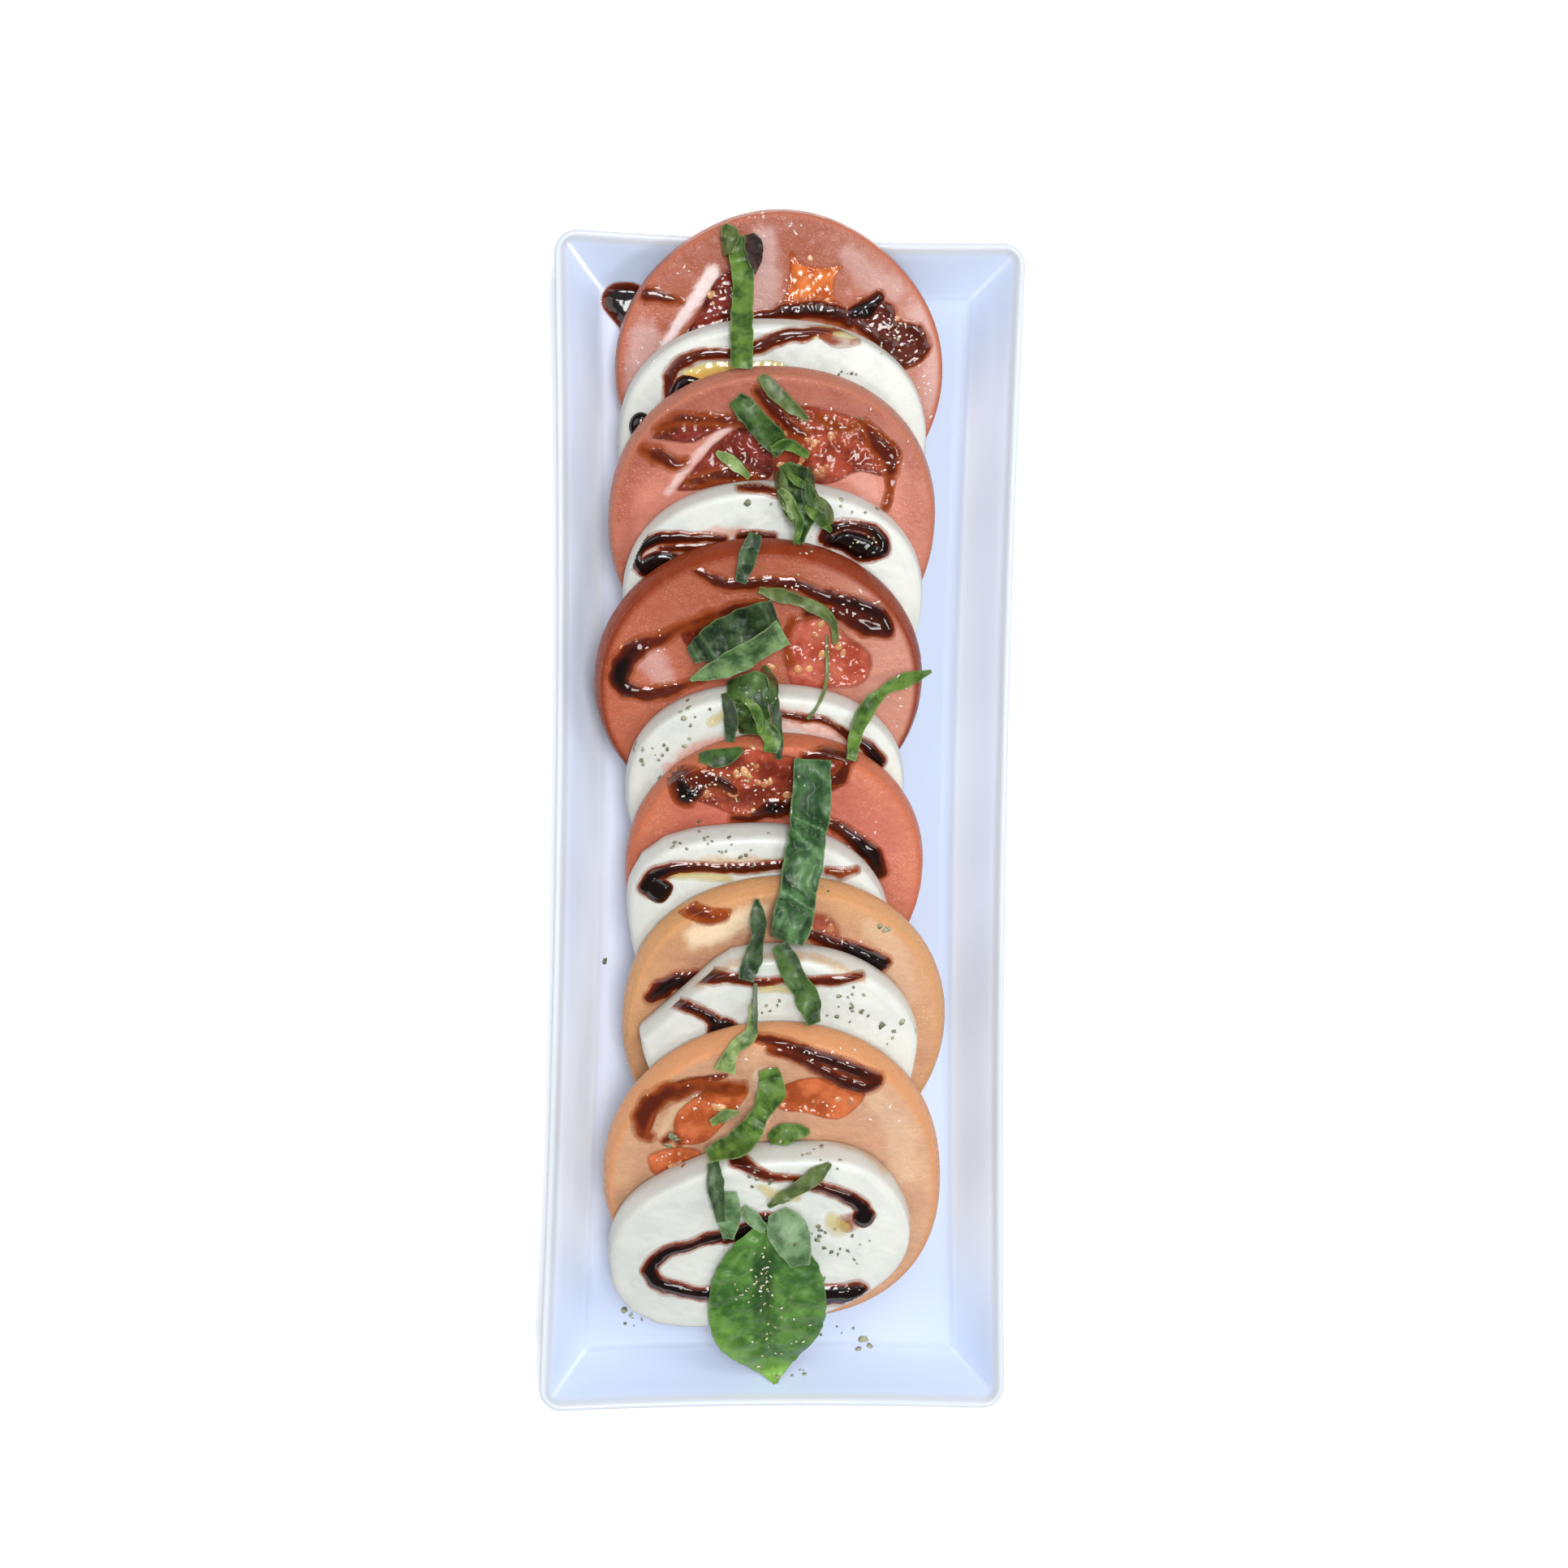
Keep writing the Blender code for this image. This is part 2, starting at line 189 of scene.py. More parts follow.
def wavy(points, size, seed):
    """Smooth noise between about -1 and 1 whose lumps are size across."""
    chance = np.random.default_rng(seed)
    total = np.zeros(len(points))
    for _ in range(WAVES):
        way = chance.normal(size=points.shape[1])
        way /= np.linalg.norm(way)
        length = size * chance.uniform(0.7, 1.8)
        total += np.sin(points @ way * (2 * math.pi / length) + chance.uniform(0, 2 * math.pi))
    return total / math.sqrt(WAVES)


def step_between(value, low, high):
    """0 below low, 1 above high and smooth between them."""
    share = np.clip((value - low) / (high - low), 0, 1)
    return share * share * (3 - 2 * share)


def smooth_route(route, spacing, closed=False):
    """Evenly spaced points on a smooth curve through the route."""
    spots = np.array(route, float)
    if closed:
        spots = np.vstack([spots[-1:], spots, spots[:2]])
    else:
        spots = np.vstack([2 * spots[:1] - spots[1:2], spots, 2 * spots[-1:] - spots[-2:-1]])
    share = np.linspace(0, 1, STEPS_BETWEEN, endpoint=False)[:, None]
    fine = [0.5 * (2 * b + (c - a) * share + (2 * a - 5 * b + 4 * c - d) * share ** 2
                   + (3 * b - a - 3 * c + d) * share ** 3)
            for a, b, c, d in zip(spots, spots[1:], spots[2:], spots[3:])]
    fine = np.vstack(fine + [spots[-2:-1]])
    run = np.r_[0, np.cumsum(np.hypot(*np.diff(fine, axis=0).T))]
    goal = np.linspace(0, run[-1], max(3, round(run[-1] / spacing)) + 1)
    return np.column_stack([np.interp(goal, run, fine[:, k]) for k in range(fine.shape[1])])


# %% Faces and pieces
def gather(parts):
    """Points and faces of many shapes as one."""
    points, faces, count = [], [], 0
    for part_points, part_faces in parts:
        points.append(part_points)
        faces += [[corner + count for corner in face] for face in part_faces]
        count += len(part_points)
    return np.vstack(points), faces


def grid_faces(rows, columns):
    """Quads of a grid of points stored row by row, and its border loop in order."""
    index = np.arange(rows * columns).reshape(rows, columns)
    quads = np.stack([index[:-1, :-1], index[:-1, 1:], index[1:, 1:], index[1:, :-1]], -1)
    border = np.concatenate([index[0, :-1], index[:-1, -1], index[-1, :0:-1], index[:0:-1, 0]])
    return quads.reshape(-1, 4), border


def on_the_table(points):
    """Points in millimetres from the plate's middle as places in the frame, in metres."""
    return points * MM + np.array(MIDDLE)


def add_piece(name, points, faces, finish, slot, replaces=(), drawn=None, sharp=None):
    """An object from points in metres and faces, riding on the salad, with values drawn on it."""
    mesh = bpy.data.meshes.new(name)
    mesh.from_pydata(np.asarray(points).tolist(), [], [list(face) for face in faces])
    for label, values in (drawn or {}).items():
        values = np.asarray(values, float)
        kind, field = ("FLOAT", "value") if values.ndim == 1 else ("FLOAT_VECTOR", "vector")
        layer = mesh.attributes.new(label, kind, "POINT")
        layer.data.foreach_set(field, values.ravel())
    mesh.shade_smooth()
    if sharp is not None:
        mesh.set_sharp_from_angle(angle=math.radians(sharp))
    mesh.materials.append(finish.material)
    piece = bpy.data.objects.new(name, mesh)
    bpy.context.scene.collection.objects.link(piece)
    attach(piece, "root")
    if replaces:
        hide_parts(*replaces)
    print("%-22s %6d points" % (name, len(mesh.vertices)))
    return piece


# %% [markdown]
# ## The plate
# The plate is pressed or slip-cast stoneware with a clear glaze: a flat floor, four walls that
# slope up and meet in soft creases at the corners, and a thin rounded lip. The CAD plate has the
# same section in a few straight steps. Here the section is a smooth curve carried round an
# outline whose sides bow in a little, as kiln heat leaves them.

# %% Outline of the plate
LIP_WIDTH = 122.4  # over the lip, millimetres
LIP_LENGTH = 305.0
SIDE_BOW = 2.4  # how far the long sides draw in at their middle
END_BOW = 1.3  # the same for the ends
CORNER_STEPS, SHORT_STEPS, LONG_STEPS = 10, 30, 70


def plate_outline(inset, corner):
    """Points round the plate at one inset from the lip, in millimetres."""
    half = np.array([LIP_WIDTH / 2 - inset, LIP_LENGTH / 2 - inset])
    points = []
    sides = ((1, 1, SHORT_STEPS), (-1, 1, LONG_STEPS), (-1, -1, SHORT_STEPS), (1, -1, LONG_STEPS))
    for index, (sign_x, sign_y, count) in enumerate(sides):
        centre = np.array([sign_x, sign_y]) * (half - corner)
        turns = math.pi / 2 * (index + np.arange(CORNER_STEPS + 1) / CORNER_STEPS)
        points += [centre + corner * np.array([math.cos(turn), math.sin(turn)]) for turn in turns]
        end = np.array(sides[(index + 1) % 4][:2]) * (half - corner)
        out = points[-1] - centre
        points += [centre + (end - centre) * step / count + out for step in range(1, count)]
    points = np.array(points)
    share = (points / half) ** 2
    bow = np.array([SIDE_BOW, END_BOW]) / half * (1 - share[:, ::-1])
    return points * (1 - bow)


# %% Section of the plate
# (inset from the lip, height above the table, corner radius), up the outside and down the inside
SECTION = [
    (16, 0, 3), (15, 0.35, 3), (12.5, 3.1, 3.5), (8, 8.6, 4.5), (3.5, 16.1, 5.5),
    (0.9, 20, 6.2), (0.15, 21, 6.4), (0.3, 21.7, 6.3), (0.9, 22, 6.2),
    (1.7, 21.75, 4.6), (3.4, 19.6, 2.4), (6.5, 14.2, 1.3), (9.8, 8.6, 1), (11.9, 5.6, 0.9),
    (13.4, 4.95, 0.9), (16, 4.82, 0.9), (20, 4.8, 0.9), (26, 4.8, 0.9),
]
SECTION_STEP = 0.7


def closed_loft(rings, first_centre, last_centre):
    """Points and faces of a stack of closed rings, with a fan to a middle point at each end."""
    count = len(rings[0])
    points = np.vstack(list(rings) + [[first_centre], [last_centre]])
    here = np.arange(count)
    after = (here + 1) % count
    faces = []
    for row in range(len(rings) - 1):
        low, high = row * count, (row + 1) * count
        faces += np.column_stack([low + here, low + after, high + after, high + here]).tolist()
    first, last = len(points) - 2, len(points) - 1
    top = (len(rings) - 1) * count
    faces += [(first, int(b), int(a)) for a, b in zip(here, after)]
    faces += [(last, top + int(a), top + int(b)) for a, b in zip(here, after)]
    return points, faces


def plate_shape():
    """Points and faces of the plate: its section carried round, closed above and below."""
    rings = []
    for inset, height, corner in smooth_route(SECTION, SECTION_STEP):
        outline = plate_outline(inset, corner)
        rings.append(np.column_stack([outline, np.full(len(outline), max(height, 0.0))]))
    floor = rings[-1] * (0.5, 0.5, 1)
    points, faces = closed_loft(rings + [floor], (0, 0, 0), (0, 0, floor[0, 2]))
    return on_the_table(points), faces


# %% [markdown]
# The glaze is a thin layer of glass over a white body. A Principled shader has that layer built
# in as its coat. The body is a very pale blue-white with faint clouds. Light and shade are also
# painted into its colour: the floor darker than the walls, the wall foot, the floor by the food and
# the near end lighter, a painted highlight on the creases and a painted shade on the lip.

# %% Glazed stoneware
def glazed_stoneware():
    finish = Finish("glazed_stoneware", Roughness=0.5, Specular_IOR_Level=0.0, Coat_Weight=1.0,
                    Coat_Roughness=0.03, Coat_IOR=1.45)
    place = finish.place()
    across, along, height = (finish.axis(place, number) for number in range(3))

    def past(value, low, high):
        """0 before low and 1 after high, both in millimetres."""
        return finish.ramp(value, low * MM, high * MM)

    # the floor: painted darker than the walls for the stronger light it gets, and painted lighter
    # and bluer towards the near end and on the left, against the shade beside the food; the end wall left
    # out
    before_end = past(along, -128, -98)
    near = (1 - past(along, -75, -20)) * before_end
    left = (1 - past(across, -46, -32)) * before_end
    glaze = finish.mix(finish.noise(place, 18.0), srgb(179, 190, 212), srgb(184, 195, 215))
    glaze = finish.mix(near * 0.5, glaze, srgb(206, 218, 238))
    glaze = finish.mix(left, glaze, srgb(212, 217, 233))
    # the walls: painted paler at the foot against the shade where they meet the floor, and paler to the
    # right and towards the near end
    side_wall = finish.mix(past(across, 0, 40), srgb(221, 231, 250), srgb(229, 237, 253))
    side_wall = finish.mix(past(height, 6, 17), srgb(240, 246, 255), side_wall)
    side_wall = finish.mix(near * 0.5, side_wall, srgb(244, 250, 255))
    end_wall = finish.mix(past(along, 0, 40), srgb(200, 213, 237), srgb(204, 216, 237))
    off_crease = abs(along) - abs(across) - (LIP_LENGTH - LIP_WIDTH) / 2 * MM
    at_end = past(off_crease, -44, -4)
    wall = past(height, 4.9, 6.6)
    glaze = finish.mix(wall, glaze, finish.mix(at_end, side_wall, end_wall))
    # a painted highlight on the creases: bright at the corner that faces the lamp, faint at the others
    to_lamp = (1.0 - 0.8 * past(across, -20, 20)) * (0.3 + 0.7 * past(along, -40, 40))
    off_crease = off_crease * (1 / MM)
    crease_painted_light = 1 - finish.ramp(off_crease * off_crease, 0.1, 0.9)
    glaze = finish.mix(crease_painted_light * wall * to_lamp * 0.8, glaze, srgb(250, 252, 255))
    # a painted shade on the lip, darker to hold down its brightly lit top
    glaze = finish.mix(past(height, 19.2, 21.2), glaze, srgb(194, 200, 208))
    finish.set(Base_Color=glaze, Coat_Weight=0.04 + 0.3 * past(height, 10, 20),
               Normal=finish.bump(finish.noise(place, 90.0, 2.0), 0.06 * MM, 0.35))
    return finish


plate = add_piece("serving_plate", *plate_shape(), glazed_stoneware(), "glazed_plate", ["plate"])

# %% [markdown]
# ## Reading a slice from its CAD solid
# Every slice leans on the one before it. Its underside is flat, so the largest group of faces
# that look down gives the way it leans. The point in the middle of those faces is the centre, and
# the outermost corner in each direction gives the outline. A smooth closed curve through them
# takes the facets away.

# %% A slice's own frame and outline
SliceFrame = namedtuple("SliceFrame", "name centre axes thick turns radii")
KNIFE_CORNER = 21.0  # degrees of bend at one corner that only a knife makes
LOOKS_DOWN = -0.5  # normals lower than this belong to the underside
SAME_PLACE = 0.05  # millimetres between points that count as one
SAME_WAY = 0.9998  # cosine between the normals of one flat face
OUTLINE_STEP = 0.4  # between points of a smooth outline, millimetres


def smooth_ring(corners):
    """A closed curve through corners given in any order, smooth but for knife corners."""
    order = np.argsort(np.arctan2(corners[:, 1], corners[:, 0]))
    ring = corners[order]
    ring = ring[np.hypot(*(ring - np.roll(ring, 1, axis=0)).T) > SAME_PLACE]
    ahead = np.roll(ring, -1, axis=0) - ring
    heading = np.arctan2(ahead[:, 1], ahead[:, 0])
    bend = np.degrees(heading - np.roll(heading, 1)) % 360
    knife = np.flatnonzero(bend > KNIFE_CORNER)
    if len(knife) < 2:
        curve = smooth_route(ring, OUTLINE_STEP, closed=True)[:-1]
    else:
        ends = list(knife) + [knife[0] + len(ring)]
        sides = [np.take(ring, range(a, b + 1), axis=0, mode="wrap") for a, b in zip(ends, ends[1:])]
        curve = np.vstack([smooth_route(side, OUTLINE_STEP)[:-1] for side in sides])
    turns = np.arctan2(curve[:, 1], curve[:, 0]) % (2 * math.pi)
    order = np.argsort(turns)
    return turns[order], np.hypot(*curve[order].T)


# %% Reading the slices
def read_slice(name):
    """Centre, lean, thickness and outline of a slice, from its CAD solid."""
    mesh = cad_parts[name].data
    corners = np.array([v.co for v in mesh.vertices])
    normals = np.array([p.normal for p in mesh.polygons])
    areas = np.array([p.area for p in mesh.polygons])
    below = normals[:, 2] < LOOKS_DOWN
    flattest = normals[below][areas[below].argmax()]
    alike = normals @ flattest > SAME_WAY
    up = -(normals[alike] * areas[alike, None]).sum(0)
    up /= np.linalg.norm(up)
    across = np.array([1.0, 0, 0]) - up * up[0]
    across /= np.linalg.norm(across)
    axes = np.array([across, np.cross(up, across), up])
    local = corners @ axes.T / MM
    low, high = local.min(0), local.max(0)
    middle = np.array([(low[0] + high[0]) / 2, (low[1] + high[1]) / 2, low[2]])
    local -= middle
    widest = local[np.hypot(local[:, 0], local[:, 1]).argmax(), 2]
    ring = local[np.abs(local[:, 2] - widest) < SAME_PLACE][:, :2]
    return SliceFrame(name, middle @ axes * MM, axes, high[2] - low[2], *smooth_ring(ring))


def outline_at(shape, turns):
    """Widest radius of a slice in some directions."""
    return np.interp(turns % (2 * math.pi), shape.turns, shape.radii, period=2 * math.pi)


TOMATOES = [f"tomato_{number}" for number in range(1, 7)]
CHEESES = [f"mozzarella_{number}" for number in range(1, 7)]
slices = {name: read_slice(name) for name in TOMATOES + CHEESES}
for shape in slices.values():
    lean = math.degrees(math.acos(shape.axes[2][2]))
    print("%-13s leans %.1f degrees, %.1f mm thick, radius %.1f to %.1f mm"
          % (shape.name, lean, shape.thick, shape.radii.min(), shape.radii.max()))

# %% [markdown]
# ## Making a slice
# A cut face needs even small squares, so that its seed chambers and its waviness show. A square
# grid is folded into a disc: each square ring of the grid becomes a round one. The grid's border
# then runs down over the side wall and closes under the slice.

# %% Grid folded into a disc
FACE_STEPS = 104  # squares across a cut face
SIDE_STEP = 0.7  # rows down the side wall, millimetres
FIBRES = 9.0  # how many streaks of flesh there are round a slice


def in_plan(points):
    """Plan places in millimetres of points in metres."""
    return (points[:, :2] - np.array(MIDDLE)[:2]) / MM


def disc_grid():
    """Points of a unit disc, its quads and the border loop in order."""
    line = np.linspace(-1, 1, FACE_STEPS + 1)
    a, b = (grid.ravel() for grid in np.meshgrid(line, line))
    wide = np.abs(a) > np.abs(b)
    reach = np.where(wide, a, b)
    with np.errstate(divide="ignore", invalid="ignore"):
        turn = np.where(wide, math.pi / 4 * b / a, math.pi / 2 - math.pi / 4 * a / b)
    turn = np.nan_to_num(turn)
    points = np.column_stack([reach * np.cos(turn), reach * np.sin(turn)])
    return points, *grid_faces(FACE_STEPS + 1, FACE_STEPS + 1)


DISC, DISC_QUADS, DISC_BORDER = disc_grid()


# %% One slice
def slice_shape(shape, side, relief):
    """Points and faces of one slice, with values for its finish.

    side lists (distance in from the widest outline, height over the underside) in millimetres,
    from the cut face's edge down; relief gives how far the face stands up, from its plan places.
    """
    reach = np.hypot(DISC[:, 0], DISC[:, 1])
    turns = np.arctan2(DISC[:, 1], DISC[:, 0])
    inset, height = side[0]
    edge = outline_at(shape, turns) - inset
    flat = DISC * edge[:, None]
    inward = edge * (1 - reach)
    face = np.column_stack([flat, np.full(len(flat), height)])
    plan = in_plan(face @ shape.axes * MM + shape.centre)
    lift = relief(plan, flat, inward)
    face[:, 2] += lift
    points, inwards, faces = [face], [inward], [DISC_QUADS]
    turns = turns[DISC_BORDER]
    widest = outline_at(shape, turns)
    previous, count = DISC_BORDER, len(DISC)
    rows = smooth_route(side, SIDE_STEP)[1:]
    for number, (inset, level) in enumerate(rows):
        carried = lift[DISC_BORDER] * (1 - (number + 1) / len(rows)) ** 2
        radius = widest - inset
        points.append(np.column_stack([radius * np.cos(turns), radius * np.sin(turns),
                                       level + carried]))
        inwards.append(np.full(len(turns), level - height - 0.3))
        now = count + np.arange(len(turns))
        faces.append(np.column_stack([previous, np.roll(previous, 1), np.roll(now, 1), now]))
        previous, count = now, count + len(turns)
    points.append([[0, 0, 0]])
    inwards.append([-height])
    local = np.vstack(points)
    face_list = np.vstack(faces).tolist()
    face_list += [(count, int(a), int(b)) for a, b in zip(previous, np.roll(previous, 1))]
    turns = np.arctan2(local[:, 1], local[:, 0])
    reach = np.hypot(local[:, 0], local[:, 1])
    fibre = np.column_stack([np.cos(turns) * FIBRES, np.sin(turns) * FIBRES, reach * 0.1])
    drawn = {"inward": np.concatenate(inwards), "own_place": local, "fibre": fibre}
    return local @ shape.axes * MM + shape.centre, face_list, drawn


# %% [markdown]
# ## Seed chambers
# A tomato slice is a wall of firm flesh with chambers in it. Each chamber holds jelly and seeds.
# The chambers that show are drawn in plan as a few points round each. Inside such a ring the face
# is pressed down a little, so that the jelly laid in later has a bowl to sit in. Pale dividing
# walls between chambers stand up slightly instead.

# %% Where the chambers and the pale walls are
Chamber = namedtuple("Chamber", "jelly depth soft outline")
CHAMBERS = {
    "tomato_1": [
        Chamber("amber", 0.6, 0.8, ((-1, 147), (2, 143.6), (7, 143), (12.5, 143.5), (10.5, 140.5),
                 (10.5, 136.5), (11.5, 132), (4, 131), (-3, 131.5), (-1.6, 137), (-1.2, 143))),
        Chamber("brick", 0.8, 1.6, ((-16, 141.5), (-20.5, 138.5), (-23.6, 132), (-29, 122.5), (-24, 122),
                 (-13, 124), (-12, 130), (-13, 138))),
        Chamber("brick", 0.6, 1.6, ((16, 131), (21, 134), (28, 131), (34, 127), (35, 122), (29, 118),
                 (24, 123.5))),
    ],
    "tomato_2": [
        Chamber("brick", 0.6, 1.4, ((-36, 97), (-31, 101), (-24.5, 103), (-17, 102.5), (-13.5, 101.6),
                 (-21, 98), (-25.5, 96), (-30.5, 96))),
        Chamber("brick", 0.8, 1.6, ((-12, 100.5), (-19.6, 96.6), (-23.8, 91.6), (-29.4, 85), (-26, 84.5),
                 (-20, 85.5), (-12, 87), (-6, 88), (-5.5, 94))),
        Chamber("rust", 0.8, 1.8, ((-5, 103.5), (2.5, 105.5), (12, 104), (20.5, 100.5), (26, 96.5),
                 (27, 93), (23, 89), (16.5, 90), (9.5, 87), (1.5, 86.5), (-5, 88), (-5, 97))),
    ],
    "tomato_3": [
        Chamber("rose", 0.6, 1.8, ((-2, 51), (3.5, 53.5), (8.5, 53.5), (15, 48.5), (20, 45), (20.5, 40),
                 (18, 36.5), (10.5, 35.5), (0.5, 36), (-1.6, 44))),
        Chamber("brick", 0.6, 1.8, ((-10, 57), (-20, 53), (-28, 49), (-24, 44), (-16, 46), (-8, 51))),
    ],
    "tomato_4": [
        Chamber("rust", 0.8, 1.8, ((-23, 13), (-18, 19), (-11.5, 21), (-4.5, 19.5), (1.5, 18), (1.5, 9),
                 (-3, 4.5), (-11, 3), (-18, 5), (-24, 8))),
        Chamber("brick", 0.5, 1.4, ((3, 18.6), (10, 19), (14, 15), (11, 10), (5, 11))),
    ],
    "tomato_5": [
        Chamber("rose", 0.4, 2.2, ((4, -20), (9, -20), (13, -24), (12, -29), (6, -28))),
        Chamber("amber", 0.6, 1.5, ((-29.5, -16.8), (-25, -16.6), (-20.5, -18.2), (-14.6, -19),
                 (-15, -21.4), (-19, -23.2), (-24, -22.6), (-28, -20.4))),
    ],
    "tomato_6": [
        Chamber("orange", 0.7, 1.2, ((-2.5, -64), (3, -61), (10.5, -60.5), (18.5, -63.5), (19, -67),
                 (13.5, -72), (5, -70.5), (-2, -69))),
        Chamber("orange", 0.8, 1, ((-27.6, -71.6), (-23, -66), (-15, -62.5), (-9.5, -64.5), (-14, -72),
                 (-20, -78.5), (-26.6, -78.4))),
        Chamber("brick", 0.6, 1.2, ((-36.4, -76), (-37, -70.5), (-34.5, -65.8), (-30, -62.6), (-23, -60.4),
                 (-15.5, -59.4), (-15.5, -61), (-24, -63.6), (-30.4, -67), (-32, -71), (-34, -76.5))),
        Chamber("orange", 0.5, 1.2, ((-34, -82), (-27, -79.6), (-20.5, -81), (-22, -86), (-28, -88),
                 (-33, -87))),
    ],
}
# how pale, half width at each end and middle line of the walls between chambers
PALE_WALLS = {
    "tomato_1": [
        (0.95, (2.4, 0.9), ((-20.6, 140.2), (-26, 132.5), (-34, 120.5))),
        (0.35, (2.6, 3.4), ((-8, 149), (-7.2, 141), (-7.6, 131))),
        (0.25, (2, 3), ((14, 146), (19, 141), (25, 138))),
        (0.35, (3.4, 3.4), ((-37.5, 124), (-38.6, 112))),
        (0.3, (4, 4), ((34, 132), (38, 122), (39, 112))),
    ],
    "tomato_2": [
        (0.55, (0.9, 0.7), ((-17, 100), (-25, 92.4), (-31.5, 84))),
        (0.12, (1.6, 2.6), ((12, 92), (18, 87), (20, 80))),
    ],
    "tomato_3": [
        (0.35, (1.8, 1.4), ((9.5, 51), (8, 45), (10, 38))),
        (0.3, (3, 2.2), ((-35, 42), (-32, 38))),
    ],
    "tomato_4": [
        (0.3, (1.6, 1.6), ((-16, 13), (-9, 9), (-3, 8))),
    ],
    "tomato_5": [
        (0.9, (2.7, 2), ((-22.6, -26.2), (-17, -24.6), (-8, -20))),
        (0.3, (2, 3), ((20, -24), (27, -30), (30, -42))),
    ],
    "tomato_6": [
        (0.32, (0.9, 1.2), ((-31, -76.5), (-28, -70.5), (-22, -64.6))),
        (0.8, (1.4, 1.8), ((-7, -60), (-5.4, -68), (-8, -75))),
        (0.3, (2, 3.4), ((22, -66), (28, -74), (31, -86))),
    ],
}

# %% How far inside an outline, how far from a line
ROUTE_STEP = 0.8  # between points of a drawn line or outline, millimetres
FAR = 1e9  # further than anything on the plate


def inside_by(points, outline):
    """How far points are inside a closed outline, in its own units; negative outside."""
    ring = smooth_route(outline, ROUTE_STEP, closed=True)[:-1]
    after = np.roll(ring, -1, axis=0)
    nearest = np.full(len(points), FAR)
    crossings = np.zeros(len(points), int)
    for a, b in zip(ring, after):
        along = b - a
        share = np.clip((points - a) @ along / (along @ along + 1e-12), 0, 1)
        nearest = np.minimum(nearest, np.hypot(*(points - a - share[:, None] * along).T))
        rising = (a[1] > points[:, 1]) != (b[1] > points[:, 1])
        if along[1]:
            at = a[0] + (points[:, 1] - a[1]) / along[1] * along[0]
            crossings += rising & (points[:, 0] < at)
    return np.where(crossings % 2 == 1, nearest, -nearest)


def line_distance(points, route):
    """Distance from points to a smooth line, and how far along it, from 0 to 1, they are."""
    line = smooth_route(route, ROUTE_STEP)
    best = np.full(len(points), FAR)
    along = np.zeros(len(points))
    for number, (a, b) in enumerate(zip(line, line[1:])):
        way = b - a
        share = np.clip((points - a) @ way / (way @ way), 0, 1)
        distance = np.hypot(*(points - a - share[:, None] * way).T)
        closer = distance < best
        best[closer] = distance[closer]
        along[closer] = (number + share[closer]) / (len(line) - 1)
    return best, along


# %% Pressing the chambers into the face
RAGGED = 0.18  # how far a chamber's wall strays, millimetres


def chamber_mask(name, plan):
    """Depth in millimetres and strength from 0 to 1 of the chambers under plan places."""
    depth = np.zeros(len(plan))
    mask = np.zeros(len(plan))
    for chamber in CHAMBERS[name]:
        inside = inside_by(plan, chamber.outline) + RAGGED * wavy(plan, 4.5, 31)
        share = step_between(inside, 0, chamber.soft)
        mask = np.maximum(mask, share)
        depth = np.maximum(depth, chamber.depth * share)
    return depth, mask


def pale_mask(name, plan):
    """How pale plan places are, from 0 to 1, on the walls between chambers."""
    mask = np.zeros(len(plan))
    for paleness, widths, route in PALE_WALLS[name]:
        distance, along = line_distance(plan, route)
        half = np.interp(along, (0, 1), widths) * (1 + 0.12 * wavy(plan, 3.0, 77))
        soft = 1.25 if paleness > 0.9 else 1.8
        mask = np.maximum(mask, paleness * (1 - step_between(distance, half * 0.55, half * soft)))
    return mask


# %% [markdown]
# ## Tomato flesh
# Cut tomato is wet, grainy and slightly see-through. Its colour is never one red: pale fibres run
# out from the core, the band under the skin is deeper, and these slices range from rose at the
# first to apricot at the last. Light enters the flesh and comes out a little further on, which
# the shader's subsurface scattering stands for. The skin is a thin, smooth, more orange band
# round the side wall, and it shows where a slice leans back.

# %% Tomato finish
# flesh in the middle, flesh under the skin, skin, chamber wall
TOMATO_COLOURS = {
    "tomato_1": ((160, 90, 68), (166, 98, 80), (168, 98, 74), (133, 51, 36)),
    "tomato_2": ((196, 126, 108), (160, 88, 70), (168, 106, 84), (119, 39, 28)),
    "tomato_3": ((167, 94, 72), (166, 90, 66), (114, 38, 8), (142, 51, 34)),
    "tomato_4": ((181, 98, 82), (188, 110, 82), (175, 97, 68), (133, 53, 30)),
    "tomato_5": ((184, 134, 108), (194, 148, 106), (188, 138, 94), (168, 96, 60)),
    "tomato_6": ((184, 140, 112), (198, 154, 120), (194, 134, 90), (170, 94, 56)),
}
# painted light on each slice: how much deeper a painted shade towards the far edge, how much deeper to the
# left, how much paler a painted light to the right
TOMATO_PAINTED_LIGHT = {"tomato_1": (0.4, 0.0, 0.15), "tomato_2": (0.42, 0.16, 0.06),
                "tomato_3": (0.34, 0.0, 0.24), "tomato_4": (0.0, 0.28, 0.06),
                "tomato_5": (0.16, 0.22, 0.06), "tomato_6": (0.1, 0.3, 0.08)}
# how far the cut face is set in from the widest part of the skin, where it isn't 2 mm
FLARES = {"tomato_1": 0.9, "tomato_2": 1.2, "tomato_4": 1.3}
PALE_WALL, CREAM_WALL = srgb(216, 198, 196), srgb(214, 192, 162)


